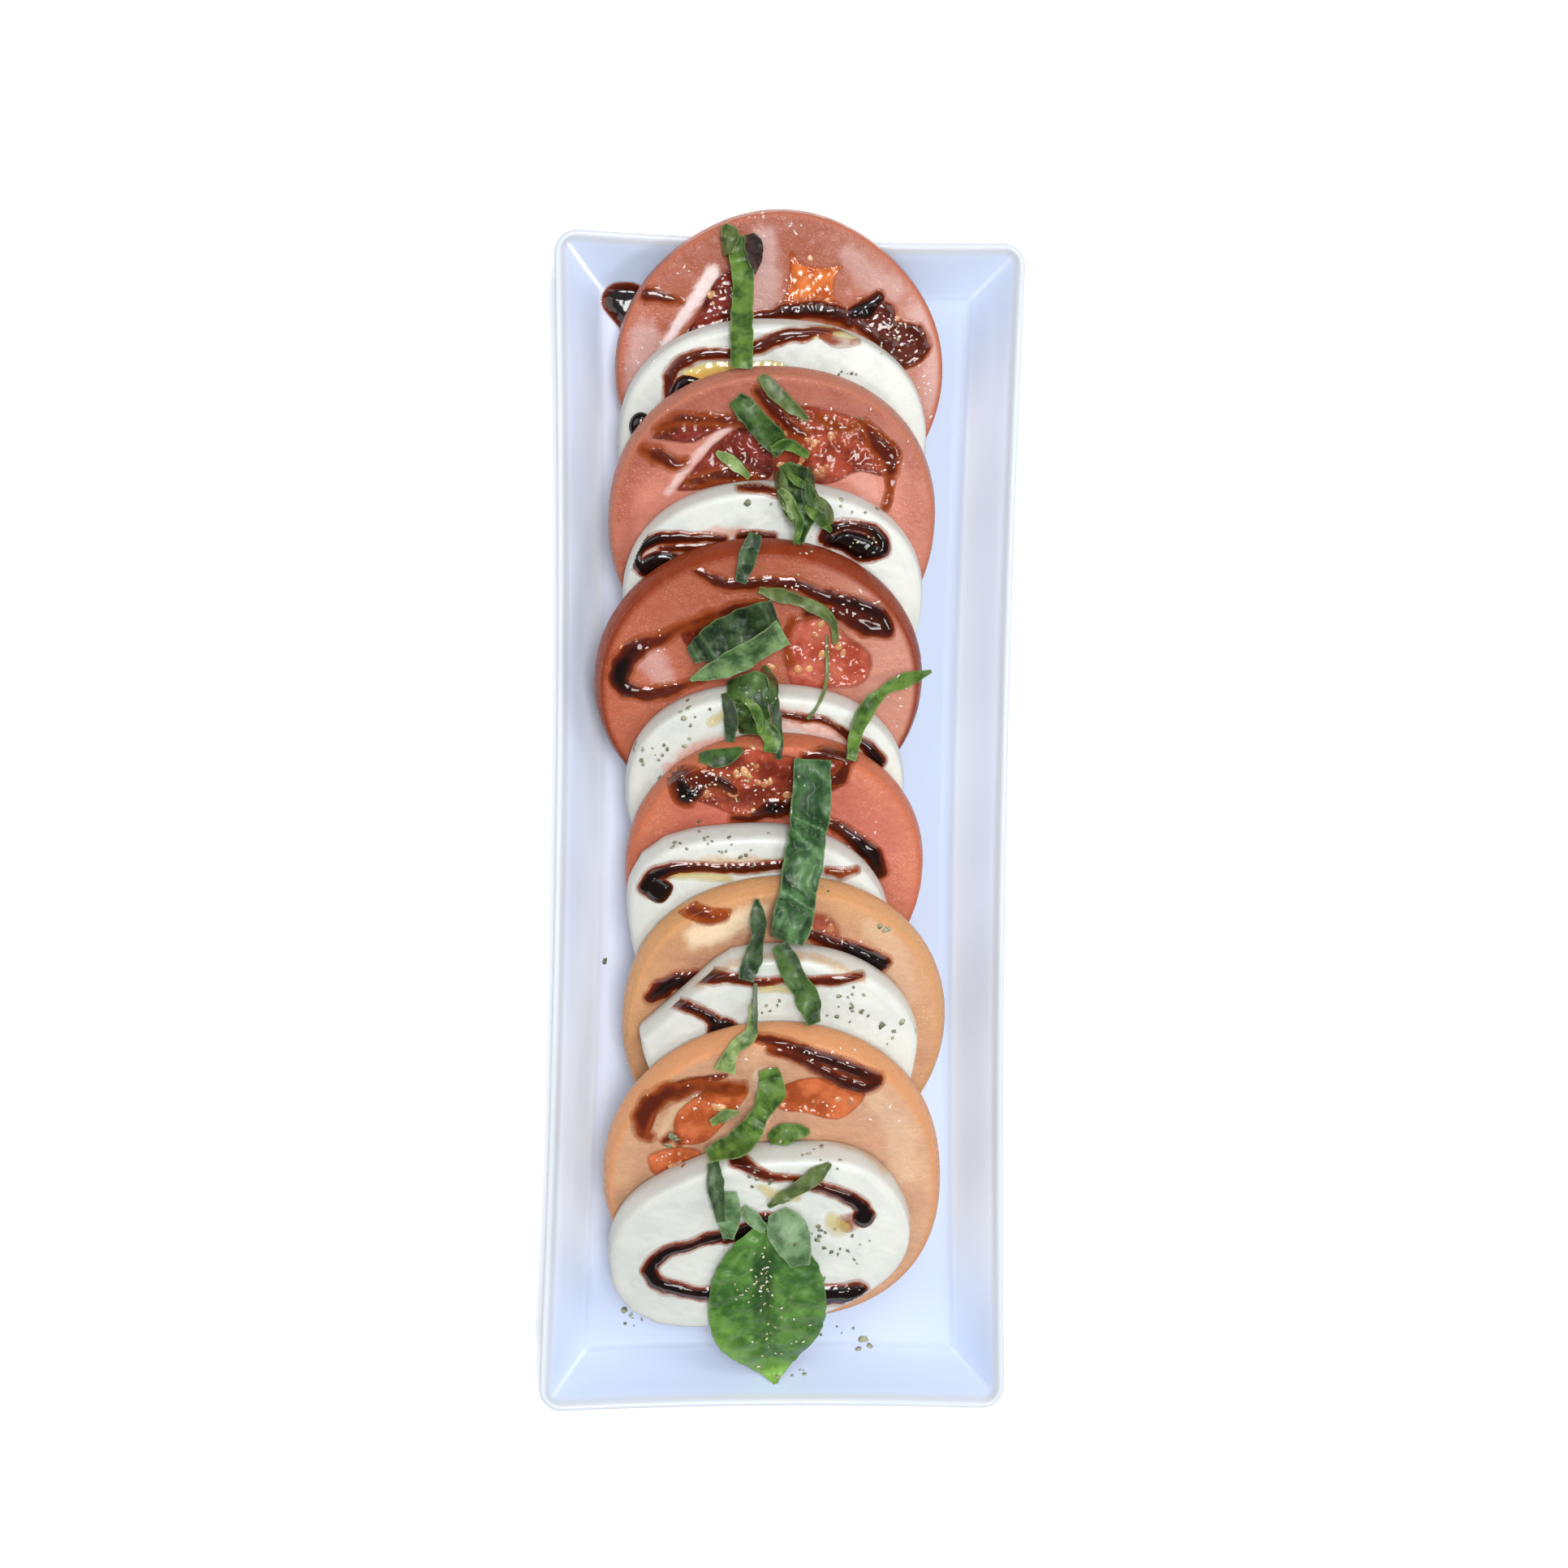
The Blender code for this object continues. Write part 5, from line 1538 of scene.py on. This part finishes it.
def draped(plan, ground, cad_name, stiff):
    """Heights of a sheet at plan places: on its CAD sheet where there is one, else as it falls."""
    rows, columns = plan.shape[:2]
    floor = ground.heights(plan.reshape(-1, 2)).reshape(rows, columns) + REST_GAP
    height, rounds = floor, FREE_ROUNDS
    if cad_name:
        # read a little inside the long edges, where the CAD sheet surely is
        inner = plan.mean(1, keepdims=True) * 0.12 + plan * 0.88
        cad = Ground([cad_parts[cad_name]]).heights(inner.reshape(-1, 2)).reshape(rows, columns)
        height, rounds = np.maximum(floor, cad - UNDER_CAD), CAD_ROUNDS
        if stiff:
            spine = np.percentile(cad[:, columns // 5:-columns // 5], 60, axis=1)
            for _ in range(SPINE_ROUNDS):
                spine[1:-1] = (spine[:-2] + spine[2:]) / 2
            across = np.linspace(-1, 1, columns)
            height = np.maximum(floor, spine[:, None] - ARCH * across ** 2)
    for _ in range(rounds):
        height = np.maximum(floor, blurred(height) - SAG)
    for _ in range(LAST_ROUNDS):
        height = np.maximum(floor - REST_GAP / 2, blurred(height))
    return height


def vein_pattern(along, across, spacing, lean, seed):
    """Distance in millimetres to the nearest side vein, veins leaning towards the tip."""
    chance = np.random.default_rng(seed)
    side = np.where(across > 0, 0.0, 0.45)
    bent = along - lean * np.abs(across) ** 0.92 + 0.35 * np.sin(np.abs(across) * 0.7
                                                               + chance.uniform(0, 6))
    phase = bent / spacing + side + chance.uniform()
    return np.abs(phase - np.round(phase)) * spacing / math.hypot(1, lean)


# %% The plan of one sheet
NARROWEST = 0.15  # half width of the finest tip, millimetres
# run and along: the way from the first end in millimetres and as a share; offset and share:
# the way across from the middle line; half: half the width of each row
Sheet = namedtuple("Sheet", "plan run along offset share half")


def sheet_plan(ribbon, seed):
    """Plan places of a sheet, in rows along its route, with slightly nicked long edges."""
    line = smooth_route(ribbon.route, LEAF_CELL)
    columns = max(5, round(max(ribbon.widths) / LEAF_CELL)) + 1
    ahead = np.gradient(line, axis=0)
    ahead /= np.hypot(*ahead.T)[:, None]
    side = np.column_stack([ahead[:, 1], -ahead[:, 0]])
    along = np.linspace(0, 1, len(line))
    spread = np.linspace(0, 1, len(ribbon.widths))
    widths = smooth_route(np.column_stack([spread, ribbon.widths]), 0.02)
    half = np.interp(along, widths[:, 0], widths[:, 1]) / 2
    run = along * np.hypot(*np.diff(line, axis=0).T).sum()
    nicks = [0.1 * wavy(run[:, None], 4.0, seed + k) + 0.03 * wavy(run[:, None], 1.3, seed + k + 1)
             for k in (0, 9)]
    left, right = (np.maximum(half + nick * (half > 0.6), NARROWEST) for nick in nicks)
    share = np.linspace(-1, 1, columns)
    offset = share * np.where(share < 0, left[:, None], right[:, None])
    plan = line[:, None, :] + side[:, None, :] * offset[..., None]
    return Sheet(plan, run, along, offset, share, half)


# %% What makes it a leaf
# millimetres between side veins, how much they lean towards the tip, half width of the midrib,
# how far the blade puffs up between the veins, and the length of the ruffles at the edge
Habit = namedtuple("Habit", "spacing lean rib puff ruffle")
WHOLE = Habit(5.6, 0.85, 0.75, 0.75, 6.0)
CUT = Habit(4.2, 1.1, 0.5, 0.08, 3.5)
VEIN_HALF = 0.42  # half width of a side vein, millimetres
FOLD_DEPTH = 1.6  # the cross folds that rolling leaves in a ribbon


def as_leaf(height, sheet, ribbon, seed):
    """Heights with all that makes a leaf added, and where its veins and its folds are."""
    whole = ribbon.look == "leaf"
    habit = WHOLE if whole else CUT
    chance = np.random.default_rng(seed)
    widest, run = sheet.half.max(), sheet.run
    rib = 0.0 if whole else chance.uniform(-0.5, 0.5) * widest
    across = sheet.offset - rib
    flat_place = np.column_stack([np.repeat(run, height.shape[1]), sheet.offset.ravel()])

    def waves(size, number):
        return wavy(flat_place, size, seed + number).reshape(height.shape)

    vein = vein_pattern(run[:, None] + waves(7.0, 5), across, habit.spacing, habit.lean, seed)
    rib_share = np.exp(-(across / habit.rib) ** 2)
    vein_share = np.exp(-(vein / VEIN_HALF) ** 2) * (0.6 + 0.4 * waves(5.0, 6))
    puff = habit.puff * (1 - np.exp(-(vein / 1.1) ** 2)) \
        * (1 - np.exp(-(across / 1.6) ** 2)) * (0.8 + 0.5 * waves(4.0, 8))
    ruffle = 0.5 + 0.5 * waves(habit.ruffle, 2)
    edge = np.abs(sheet.share) ** 2.2
    tip = ribbon.bank * np.sin(run / run[-1] * 2 * math.pi * max(1, run[-1] / 16) + seed)
    lean = tip[:, None] * sheet.offset + np.abs(tip * sheet.half)[:, None]
    height = height + puff + ribbon.curl * edge * (0.4 + 0.9 * ruffle) + lean
    if whole:
        blade = 1.7 * np.sqrt(np.clip(1 - sheet.share ** 2, 0, 1)) * (1 - rib_share * 0.6)
        height += blade * np.sin(math.pi * sheet.along)[:, None] ** 0.6 + 0.18 * waves(3.0, 11)
        fold_light_share = 0.5
    else:
        slant = run[:, None] + chance.uniform(-1.1, 1.1) * sheet.offset + 0.8 * waves(7.0, 12) \
            + 3.0 * wavy(run[:, None], 14.0, seed + 14)[:, None]
        folds = np.abs((slant / (4.8 + 1.1 * widest) + chance.uniform()) % 1 * 2 - 1)
        broad = min(1.0, (widest / 4.6) ** 1.8) * (0.35 if ribbon.look == "grey" else 1)
        height += broad * (FOLD_DEPTH * folds + 0.25 * waves(2.4, 13) + 0.3)
        fold_light_share = folds * broad + 0.5 * (1 - broad)
    return height, np.maximum(vein_share, rib_share), fold_light_share


# %% One sheet
def sheet_shape(ribbon, ground, cad_name, seed):
    """Points, faces and values of one thin closed leaf sheet, in metres."""
    sheet = sheet_plan(ribbon, seed)
    height = draped(sheet.plan, ground, cad_name, ribbon.look == "leaf")
    height, vein, fold = as_leaf(height, sheet, ribbon, seed)
    middle = np.dstack([sheet.plan, height])
    normal = np.cross(np.gradient(middle, axis=1), np.gradient(middle, axis=0))
    normal /= np.linalg.norm(normal, axis=2, keepdims=True)
    points = np.concatenate([(middle + normal * LEAF_THICK / 2).reshape(-1, 3),
                             (middle - normal * LEAF_THICK / 2).reshape(-1, 3)])
    size = height.size
    quads, border = grid_faces(*height.shape)
    after = np.roll(border, -1)
    wall = np.column_stack([after, border, border + size, after + size])
    faces = np.vstack([quads, quads[:, ::-1] + size, wall]).tolist()
    to_end = np.minimum(sheet.run, sheet.run[-1] - sheet.run)[:, None]
    margin = np.minimum((1 - np.abs(sheet.share)) * sheet.half[:, None], to_end)
    drawn = {"vein": vein, "margin": margin, "along": sheet.along[:, None],
             "blade_x": sheet.offset, "fold": fold}
    drawn = {label: np.tile(np.broadcast_to(values, height.shape).ravel(), 2)
             for label, values in drawn.items()}
    drawn["under"] = np.repeat((0, 1), size)
    return on_the_table(points), faces, drawn


# %% [markdown]
# Basil green runs from nearly black where it is bruised to yellow where it is young. Every sheet
# has its own place on that scale, and the greys come from a bloom of fine hairs that scatters
# light. Veins are paler than the blade, and cell-sized grain breaks up the shine.

# %% Basil finish
# deep green, light green, vein green, and the share of grey bloom
BASIL_LOOKS = {
    "young": ((32, 62, 20), (92, 122, 50), (118, 146, 78), 0.06),
    "pale": ((60, 84, 38), (132, 153, 89), (151, 170, 112), 0.1),
    "fresh": ((20, 42, 14), (66, 94, 42), (98, 126, 72), 0.08),
    "dark": ((19, 38, 19), (56, 77, 46), (93, 116, 77), 0.15),
    "olive": ((56, 67, 33), (89, 106, 58), (116, 130, 77), 0.1),
    "bright": ((40, 68, 34), (110, 140, 90), (138, 166, 118), 0.18),
    "broad": ((30, 58, 30), (83, 118, 73), (106, 141, 95), 0.12),
    "grey": ((56, 86, 50), (110, 139, 98), (136, 162, 122), 0.3),
    "bruised": ((25, 19, 21), (54, 42, 42), (67, 62, 54), 0.1),
    "leaf": ((42, 81, 31), (83, 124, 54), (108, 143, 75), 0.05),
}
BLOOM = srgb(148, 164, 132)


def basil_finish(look):
    deep, light, vein_green = (srgb(*green) for green in BASIL_LOOKS[look][:3])
    bloom = BASIL_LOOKS[look][3]
    finish = Finish("basil_" + look, Subsurface_Weight=0.12, Subsurface_Scale=0.5 * MM,
                    Subsurface_Radius=(0.5, 1.0, 0.2), IOR=1.42, Specular_IOR_Level=0.32)
    place = finish.place()
    vein = finish.drawn("vein")
    margin = finish.drawn("margin")
    clouds = finish.ramp(finish.noise(place, 190.0, 4.0, 0.6), 0.36, 0.64)
    cells = finish.noise(place, 1400.0, 3.0, 0.6)
    colour = finish.mix(clouds * 0.85 + cells * 0.15, deep, light)
    pale_veins, high_veins = (0.3, 0.4) if look == "leaf" else (0.05, 0.15)
    colour = finish.mix(vein * (pale_veins + 0.2 * clouds), colour, vein_green)
    fold = finish.drawn("fold")
    # painted shade in the creases of the cross folds, painted light on their ridges
    colour = finish.mix(0.8 * (1 - finish.ramp(fold, 0.02, 0.45)), colour, dimmed(deep, 0.55))
    colour = finish.mix(0.45 * finish.ramp(fold, 0.72, 1.0), colour, vein_green)
    colour = finish.mix(finish.ramp(cells, 0.5, 0.8) * bloom, colour, BLOOM)
    if look == "leaf":
        along = finish.drawn("along")
        across = finish.drawn("blade_x")
        # painted light: the blade is painted lighter and yellower towards its tip and right side, where
        # light falls on its dome
        young = finish.ramp(along + across * 0.012 + clouds * 0.08 - margin * 0.02, 0.52, 1.08)
        colour = finish.mix(young * 0.8, colour, srgb(120, 164, 68))
        # painted shade in the valley along the midrib
        bent = across - 1.2 + 1.4 * (finish.noise(place, 120.0, 2.0) - 0.5)
        crease_painted_light = (1 - finish.ramp(bent * bent, 0.3, 12.0)) * (1 - finish.ramp(along, 0.42, 0.7))
        colour = finish.mix(crease_painted_light * finish.ramp(along, 0.1, 0.25) * 0.75, colour, srgb(22, 50, 22))
    if look == "broad":
        colour = finish.mix(0.45 * (1 - finish.ramp(finish.drawn("along"), 0.05, 0.7)), colour, deep)
    # a painted highlight along the edge of the blade
    edge = 1 - finish.ramp(margin, 0.05, 0.35)
    colour = finish.mix(edge * 0.35, colour, vein_green)
    colour = finish.mix(finish.drawn("under") * 0.6, colour, srgb(128, 150, 104))
    height = cells * 0.35 + vein * high_veins
    finish.set(Base_Color=colour, Roughness=0.26 + 0.18 * cells,
               Normal=finish.bump(height, 0.1 * MM, 0.6))
    return finish


# %% Laying the basil
basil_greens = {look: basil_finish(look) for look in BASIL_LOOKS}
top = Ground([plate] + tomatoes + cheeses + jellies + [glaze, oil])


def lay_sheet(ribbon, piece_name, seed, cad_name=None):
    """Make one sheet on what is laid so far, and add it to that."""
    points, faces, drawn = sheet_shape(ribbon, top, cad_name, seed)
    piece = add_piece(piece_name, points, faces, basil_greens[ribbon.look], "basil",
                      [cad_name] if cad_name else [], drawn, sharp=60)
    top.add(piece)


lay_sheet(BASIL_LEAF, "whole_basil_leaf", 3, "basil_leaf")
for number, ribbon in enumerate(RIBBONS):
    lay_sheet(ribbon, f"basil_ribbon_{number + 1}", 300 + 7 * number, f"basil_strip_{number + 1}")
for number, ribbon in enumerate(SHREDS):
    lay_sheet(ribbon, f"basil_shred_{number + 1}", 600 + 7 * number)

# %% [markdown]
# ## Dried herbs
# Last comes a pinch of dried herbs from some height, so the flakes land singly and thin out
# towards the plate. A flake is a bit of leaf, torn to four to seven corners and a little bent.

# %% Where the herbs fell
# middle of a patch, its half widths, how many flakes, smallest and largest flake, in millimetres
HERB_PATCHES = [
    ((14, 114), (13, 4), 7, 0.65, 1.22), ((4, 81), (20, 3), 9, 0.65, 1.62),
    ((-24, 28), (6, 5), 11, 0.65, 1.76), ((-34, 18), (6, 6), 14, 0.65, 1.76),
    ((-20, -2), (9, 4), 16, 0.65, 1.62), ((-9, -5), (4, 3), 5, 0.65, 1.35),
    ((15, -42), (7, 6), 17, 0.65, 1.76), ((27, -50), (3, 4), 5, 0.78, 1.62),
    ((-5, -43), (4, 3), 6, 0.65, 1.22), ((10, -80), (10, 3), 9, 0.65, 1.76),
    ((-6, -87), (3, 3), 6, 0.78, 1.62), ((9, -101), (6, 4), 12, 0.78, 1.76),
    ((17, -108), (5, 6), 9, 0.65, 1.62), ((25, -138), (4, 3), 9, 0.65, 1.89),
    ((-36, -132), (5, 2), 6, 0.65, 1.62), ((6, -145), (6, 2), 8, 0.65, 1.49),
    ((14, -137), (5, 3), 4, 0.52, 1.08), ((-2, -118), (6, 12), 8, 0.65, 1.22),
    ((4, -14), (12, 3), 4, 0.65, 1.08), ((24, -24), (4, 1), 3, 0.78, 2.16),
    ((-28, -77), (3, 2), 5, 1.04, 2.43), ((22, 102), (10, 6), 4, 0.52, 0.94),
]
# larger flakes, each where it lies, with its length
LARGE_FLAKES = [((23.6, -48), 3.2), ((28.6, -47), 2.4), ((-12, 81), 2.4), ((-45.4, -37), 2.2),
                ((-39, -130), 2.2), ((9, -103.4), 2.6), ((9, -78.5), 2), ((5.6, -80), 1.7),
                ((24.6, -138), 2.2), ((11.5, -114.6), 1.7)]
FLAKE_THICK = 0.16  # millimetres
FLAKE_LIFT, FLAKE_TILT = 0.1, 0.12  # over what a flake lies on, and how far it may tip, in radians


# %% Flakes
def flake_shape(length, chance):
    """Points and faces of one flat torn flake, in millimetres round its middle."""
    count = chance.integers(4, 8)
    turns = (np.arange(count) + chance.uniform(-0.35, 0.35, count)) * 2 * math.pi / count
    reach = chance.uniform(0.7, 1.0, count) * length / 2
    rim = np.column_stack([np.cos(turns) * reach, np.sin(turns) * reach * chance.uniform(0.5, 1)])
    bend = 0.25 * length * (rim[:, 0] / length) ** 2
    points = np.vstack([np.column_stack([rim, bend + side * FLAKE_THICK / 2]) for side in (1, -1)])
    after = (np.arange(count) + 1) % count
    walls = [(k, k + count, after[k] + count, after[k]) for k in range(count)]
    return points, [list(range(count)), list(range(2 * count - 1, count - 1, -1))] + walls


def herb_finish():
    finish = Finish("dried_herb", Roughness=0.75)
    place = finish.place()
    hue = finish.ramp(finish.noise(place, 240.0, 1.0), 0.4, 0.6)
    colour = finish.mix(hue, srgb(100, 106, 80), srgb(154, 154, 126))
    veins = finish.noise(place, 2600.0, 3.0)
    finish.set(Base_Color=finish.mix(finish.ramp(veins, 0.5, 0.7) * 0.3, colour,
                                     srgb(52, 50, 44)))
    return finish


def scattered_flakes(patches, large_ones, seed):
    """Points and faces of flakes in loose patches, and of some with a place of their own."""
    chance = np.random.default_rng(seed)
    spots = []
    for middle, half, count, small, large in patches:
        for _ in range(count):
            spot = chance.normal(0, GROUP_CLOSE, 2) * half + middle
            spots.append((spot, chance.uniform(small, large) * 1.1))
    spots += large_ones
    parts = []
    for spot, length in spots:
        shape, faces = flake_shape(length, chance)
        laid = set_down(shape, spot, chance.uniform(0, 6.3), -FLAKE_LIFT, top,
                        chance.normal(0, FLAKE_TILT))
        parts.append((laid, faces))
    return gather(parts)


add_piece("dried_herb_flakes", *scattered_flakes(HERB_PATCHES, LARGE_FLAKES, 71), herb_finish(),
          "dried_herb")

# %% [markdown]
# Among the green there are crumbs of pale stalk and spice, most of them on the whole leaf, where
# they stand out. They are made the same way, smaller and in another colour.

# %% Crumbs
CRUMB_PATCHES = [
    ((-4.6, -113), (2.4, 8), 24, 0.5, 1), ((0, -130), (8, 8), 18, 0.5, 1.2),
    ((-10, -118), (3, 8), 6, 0.5, 1), ((-8, 34), (5, 4), 8, 0.4, 1),
    ((-8, 12), (10, 5), 16, 0.4, 1), ((-21, 12), (5, 3), 7, 0.4, 0.9),
    ((4, 70), (5, 6), 9, 0.4, 0.9), ((17, 72), (4, 3), 9, 0.4, 0.9), ((25, 126), (6, 4), 9, 0.5, 1.1),
]
crumb_finish = Finish("spice_crumb", Roughness=0.6)
crumb_place = crumb_finish.place()
crumb_tone = crumb_finish.ramp(crumb_finish.noise(crumb_place, 300.0, 1.0), 0.42, 0.58)
crumb_finish.set(Base_Color=crumb_finish.mix(crumb_tone, srgb(158, 156, 112), srgb(206, 200, 170)))
add_piece("spice_crumbs", *scattered_flakes(CRUMB_PATCHES, [], 23), crumb_finish, "dried_herb")

# %% [markdown]
# ## Beads of juice
# The cut faces have begun to weep. Small beads of juice and oil stand on the flesh and at
# the edges of the glaze. Their near-white colour is a painted highlight for the light each catches.
# A bead is a low dome, drawn out to one side.

# %% Where the beads stand
# middle of a patch, its half widths and how many beads
BEAD_PATCHES = [
    ((-11, 155), (3, 3), 6), ((1, 152), (3, 3), 5), ((-29, 141), (3, 2), 3), ((-1.5, 135), (2, 5), 9),
    ((35, 113), (3, 9), 14), ((-36, 119), (5, 3), 7), ((-18, 137), (4, 6), 8), ((28, 126), (6, 6), 20),
    ((8, 101), (9, 4), 16), ((22, 94), (6, 5), 9), ((-24, 99), (8, 3), 8), ((-20, 90), (8, 3), 6),
    ((2, 60.6), (6, 0.8), 7), ((15, 55), (5, 3), 12), ((-35, 45), (5, 5), 7), ((7, 45), (9, 7), 12),
    ((27, 33), (4, 5), 8), ((-23, 11), (6, 4), 18), ((-10, 13), (8, 5), 14), ((19, -2), (5, 3), 7),
    ((-3, 6), (6, 2), 8), ((-22, -18.4), (5, 1.5), 4), ((14, -26), (8, 3), 4), ((5, -54), (14, 4), 16),
    ((8, -67), (9, 4), 9), ((-24, -67), (7, 5), 12), ((-29, -83), (5, 2), 7), ((-4, -114), (2, 9), 7),
    ((-10, -120), (4, 6), 2), ((5, -128), (4, 8), 3), ((14, 78), (5, 3), 6), ((26, -74), (4, 8), 4),
]
BEAD_SIDES = 10
BEAD_SECTION = ((1.0, -0.1), (0.92, 0.1), (0.62, 0.26), (0.28, 0.33))  # shares of its width
BEAD_LIFT = 0.04  # over what it stands on, millimetres


# %% Beads
def bead_shape(size, longer):
    """Points and faces of one low dome, in millimetres round its middle."""
    turns = np.linspace(0, 2 * math.pi, BEAD_SIDES, endpoint=False)
    circle = np.column_stack([np.cos(turns) * longer, np.sin(turns)]) * size / 2
    points = np.vstack([np.column_stack([circle * share, np.full(BEAD_SIDES, up * size)])
                        for share, up in BEAD_SECTION])
    last = (len(BEAD_SECTION) - 1) * BEAD_SIDES
    faces = [list(range(BEAD_SIDES))[::-1], list(range(last, last + BEAD_SIDES))]
    for start in range(0, last, BEAD_SIDES):
        for k in range(BEAD_SIDES):
            near, far = start + k, start + (k + 1) % BEAD_SIDES
            faces.append((near, far, far + BEAD_SIDES, near + BEAD_SIDES))
    return points, faces


def beads():
    """Points and faces of all the beads."""
    chance = np.random.default_rng(13)
    parts = []
    for middle, half, count in BEAD_PATCHES:
        for _ in range(count):
            spot = chance.normal(0, GROUP_CLOSE, 2) * half + middle
            shape, faces = bead_shape(chance.uniform(0.25, 0.62), chance.uniform(1.0, 2.4))
            parts.append((set_down(shape, spot, chance.uniform(0, 6.3), -BEAD_LIFT, top), faces))
    return gather(parts)


# the near-white colour is a painted highlight: it stands for the glints the beads catch
bead_glint_finish = Finish("juice_bead_glint", IOR=1.35, Roughness=0.04, Alpha=0.55,
                     Base_Color=(*srgb(250, 246, 242), 1))
add_piece("juice_beads", *beads(), bead_glint_finish, "tomato")

# %% [markdown]
# ## Light, floor and camera
# The dish is seen from almost straight above, as a cook looks at it. A long lamp hangs over it,
# its long side along the plate, so that every ridge of glaze carries a highlight whichever way
# it runs. A wide dim softbox above, one at each side and two small windows at the ends fill the
# shadows, and a pale room does the rest.

# %% Studio
def aim(item, target):
    """Turn a lamp's front to a place, its long side kept along the plate."""
    back = (item.location - Vector(target)).normalized()
    side = Vector((0, 1, 0)).cross(back).normalized()
    item.rotation_euler = Matrix((side, back.cross(side), back)).transposed().to_euler()


def soft_light(name, place, size, power):
    """A white rectangular lamp at a place in metres, turned to the plate."""
    lamp = bpy.data.lights.new(name, "AREA")
    lamp.shape = "RECTANGLE"
    lamp.size, lamp.size_y = size
    lamp.energy = power
    item = bpy.data.objects.new(name, lamp)
    item.location = place
    bpy.context.scene.collection.objects.link(item)
    aim(item, MIDDLE)


soft_light("lamp_above", (0.06, 0.1, 1.6), (0.32, 0.62), 18.0)
soft_light("overhead_softbox", (0.1, 0.1, 1.7), (1.5, 1.7), 4.0)
soft_light("far_window", (0.2, 0.6, 1.05), (0.36, 0.26), 1.8)
soft_light("near_window", (0.34, -0.82, 1.17), (0.26, 0.26), 3.6)
soft_light("left_softbox", (-0.8, 0.15, 1.1), (0.8, 0.8), 4.8)
soft_light("right_softbox", (0.8, 0.15, 1.1), (0.8, 0.8), 5.0)

world = bpy.data.worlds.new("pale_room")
world.use_nodes = True
background = world.node_tree.nodes["Background"]
background.inputs["Color"].default_value = (0.94, 0.97, 1.0, 1)
background.inputs["Strength"].default_value = 0.2
bpy.context.scene.world = world

FLOOR_HALF = 3.0  # metres
floor_corners = [(x * FLOOR_HALF, y * FLOOR_HALF, TABLE - 0.2 * MM)
                 for x, y in ((-1, -1), (1, -1), (1, 1), (-1, 1))]
floor_mesh = bpy.data.meshes.new("floor")
floor_mesh.from_pydata(floor_corners, [], [(0, 1, 2, 3)])
floor = bpy.data.objects.new("floor", floor_mesh)
bpy.context.scene.collection.objects.link(floor)
floor_finish = Finish("pale_floor", Roughness=0.9, Specular_IOR_Level=0.0,
                      Base_Color=(0.97, 0.97, 0.97, 1))
floor_mesh.materials.append(floor_finish.material)

# %% Camera
CAMERA_PLACE = (-47.3, 26.9, 615.7)  # millimetres from the plate's middle
CAMERA_TURN = (-1.59, -4.54, 0.93)  # degrees
CAMERA_LENS = 52.9

lens = bpy.data.cameras.new("from_above")
lens.lens = CAMERA_LENS
lens.sensor_width = 36.0
lens.clip_start, lens.clip_end = 0.01, 10
camera = bpy.data.objects.new("from_above", lens)
camera.location = MIDDLE + Vector(CAMERA_PLACE) * MM + Vector((0, 0, TABLE))
camera.rotation_euler = [math.radians(turn) for turn in CAMERA_TURN]
bpy.context.scene.collection.objects.link(camera)
bpy.context.scene.camera = camera
bpy.context.scene.view_settings.view_transform = "Standard"
